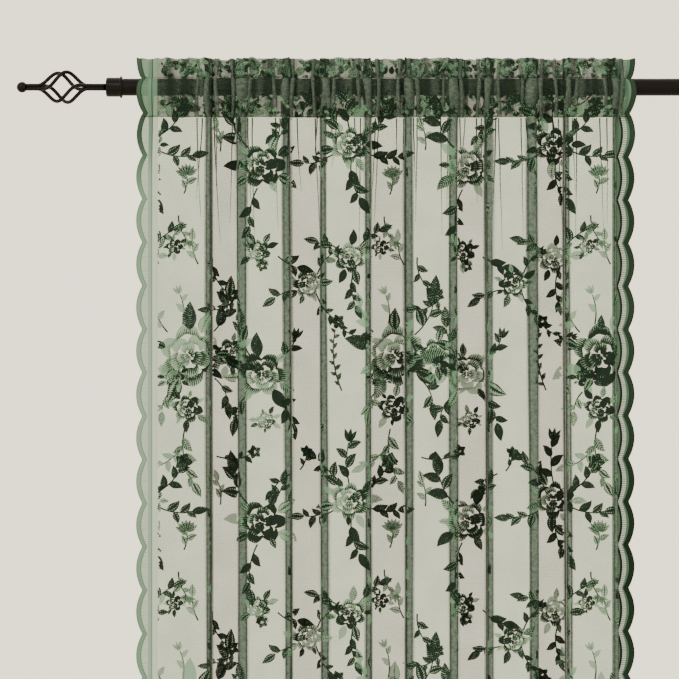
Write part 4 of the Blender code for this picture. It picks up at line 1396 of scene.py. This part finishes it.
def colour_property(name, description, code):
    """A colour of a property group, with its default from an sRGB hex code."""
    return bpy.props.FloatVectorProperty(
        name=name, description=description, subtype="COLOR", size=4, min=0.0, max=1.0, default=linear(code)
    )


class LaceColours(bpy.types.PropertyGroup):
    """Colours of the lace."""

    net_colour: colour_property("Net", "Thread of the open net where it hangs flat", "#5f9369")
    net_fold_colour: colour_property("Net in folds", "Thread where layers of the net overlap", "#71847a")
    # Painted shade: the colour that shade is painted in on the net, in its folds, the heading and the rod
    # pocket.
    net_painted_shade_colour: colour_property("Shaded net", "Thread where the net is gathered close", "#1e2c23")
    figure_colour: colour_property("Figures", "Thread where the figures are knitted closed", "#12251a")
    figure_pale_colour: colour_property("Open figures", "Thread where figures are hatched open", "#76a083")
    edging_colour: colour_property("Edging", "Thread of the scalloped edging", "#6f967f")


class RodColours(bpy.types.PropertyGroup):
    """Colours and gloss of the rod and its finials."""

    rod_colour: colour_property("Rod", "Satin enamel of the rod", "#060505")
    finial_colour: colour_property("Finials", "Gloss enamel of the finials", "#030303")
    rod_roughness: bpy.props.FloatProperty(
        name="Rod roughness",
        description="Roughness of its enamel",
        default=0.36,
        min=0.0,
        max=1.0,
        subtype="FACTOR",
    )
    finial_roughness: bpy.props.FloatProperty(
        name="Finial roughness",
        description="Roughness of their enamel",
        default=0.16,
        min=0.0,
        max=1.0,
        subtype="FACTOR",
    )


class StageSettings(bpy.types.PropertyGroup):
    """Colours around the object."""

    wall_colour: colour_property("Surroundings", "Colour seen behind the object", "#ebdfc8")
    floor_colour: colour_property("Floor", "Colour of the floor", "#ddd8d0")


def knitted_finishes():
    """The materials of the net, the figures and the edging."""
    colours = bpy.context.scene.lace_colours
    net = finish_of("warp_knitted_polyester_net", knitted_net, colours)
    figure = finish_of("jacquard_knitted_figure", jacquard_figure, colours)
    edging = finish_of("raschel_knitted_edging", knitted_border, colours)
    return net, figure, edging


class CURTAIN_OT_lace(bpy.types.Operator):
    """Make the hanging net with its turned-up hem and its seams"""

    bl_idname = "curtain.lace"
    bl_label = "Hanging Net"

    def execute(self, context):
        net, figure, _ = knitted_finishes()
        ground, hem = make_ground(net)
        dress(ground, "lace", "lace_panel")
        dress(hem, "lace")
        dress(make_seams(figure), "lace")
        dress(make_crease_shade_lines(figure), "lace")
        dress(make_pleat_rolls(net), "lace")
        return {"FINISHED"}


class CURTAIN_OT_borders(bpy.types.Operator):
    """Make the scalloped borders knitted into both sides"""

    bl_idname = "curtain.borders"
    bl_label = "Scalloped Borders"

    def execute(self, context):
        dress(make_borders(knitted_finishes()[2]), "lace")
        return {"FINISHED"}


class CURTAIN_OT_figures(bpy.types.Operator):
    bl_idname = "curtain.figures"
    bl_label = "Knitted Figures"

    def execute(self, context):
        figure = knitted_finishes()[1]
        roses = make_roses(figure)
        leaves, stems = make_leaves(figure)
        heading, folds = make_heading_figures(figure)
        for piece in (roses, leaves, stems, heading, folds):
            dress(piece, "lace")
        on_it = ["side_borders", "turned_up_hem", "seam_stitches", "crease_shade_lines", "pleat_rolls"]
        on_it += [piece.name for piece in (roses, leaves, stems, heading, folds)]
        return {"FINISHED"}


class CURTAIN_OT_rod(bpy.types.Operator):
    """Make the rod and the caged finial at each end"""

    bl_idname = "curtain.rod"
    bl_label = "Rod and Finials"

    def execute(self, context):
        colours = context.scene.rod_colours
        satin, gloss = "satin_stoved_enamel", "gloss_stoved_enamel"
        satin = finish_of(satin, enamel, satin, colours.rod_colour, colours.rod_roughness, 0.0)
        gloss = finish_of(gloss, enamel, gloss, colours.finial_colour, colours.finial_roughness, FINIAL_COAT)
        make_rod(satin)
        make_finial(gloss, "left", -1)
        make_finial(gloss, "right", 1)
        return {"FINISHED"}


class CURTAIN_OT_stage(bpy.types.Operator):
    """Make the floor, the lights and the camera"""

    bl_idname = "curtain.stage"
    bl_label = "Stage"

    def execute(self, context):
        make_stage(context.scene.stage_settings)
        return {"FINISHED"}


class CURTAIN_PT_panel(bpy.types.Panel):
    """Colours of the curtain, and the steps that make it"""

    bl_label = "Lace Curtain"
    bl_idname = "CURTAIN_PT_panel"
    bl_space_type = "VIEW_3D"
    bl_region_type = "UI"
    bl_category = "Lace Curtain"

    def draw(self, context):
        for settings in (context.scene.lace_colours, context.scene.rod_colours, context.scene.stage_settings):
            for name in settings.__annotations__:
                self.layout.prop(settings, name)
        for step in STEPS:
            self.layout.operator(step.bl_idname)


STEPS = (CURTAIN_OT_rod, CURTAIN_OT_lace, CURTAIN_OT_borders, CURTAIN_OT_figures, CURTAIN_OT_stage)
GROUPS = (("lace_colours", LaceColours), ("rod_colours", RodColours), ("stage_settings", StageSettings))


def register():
    """Adds the property groups to the scene type, and the operators and the panel to Blender."""
    for name, group in GROUPS:
        bpy.utils.register_class(group)
        setattr(bpy.types.Scene, name, bpy.props.PointerProperty(type=group))
    for part in (*STEPS, CURTAIN_PT_panel):
        bpy.utils.register_class(part)


def unregister():
    """Takes out what register adds, last first."""
    for part in reversed((*STEPS, CURTAIN_PT_panel)):
        bpy.utils.unregister_class(part)
    for name, group in reversed(GROUPS):
        delattr(bpy.types.Scene, name)
        bpy.utils.unregister_class(group)


def main():
    """Registers the add-on and makes every piece in turn."""
    register()
    bpy.ops.curtain.rod()
    bpy.ops.curtain.lace()
    bpy.ops.curtain.borders()
    bpy.ops.curtain.figures()
    bpy.ops.curtain.stage()


if __name__ == "__main__":
    main()
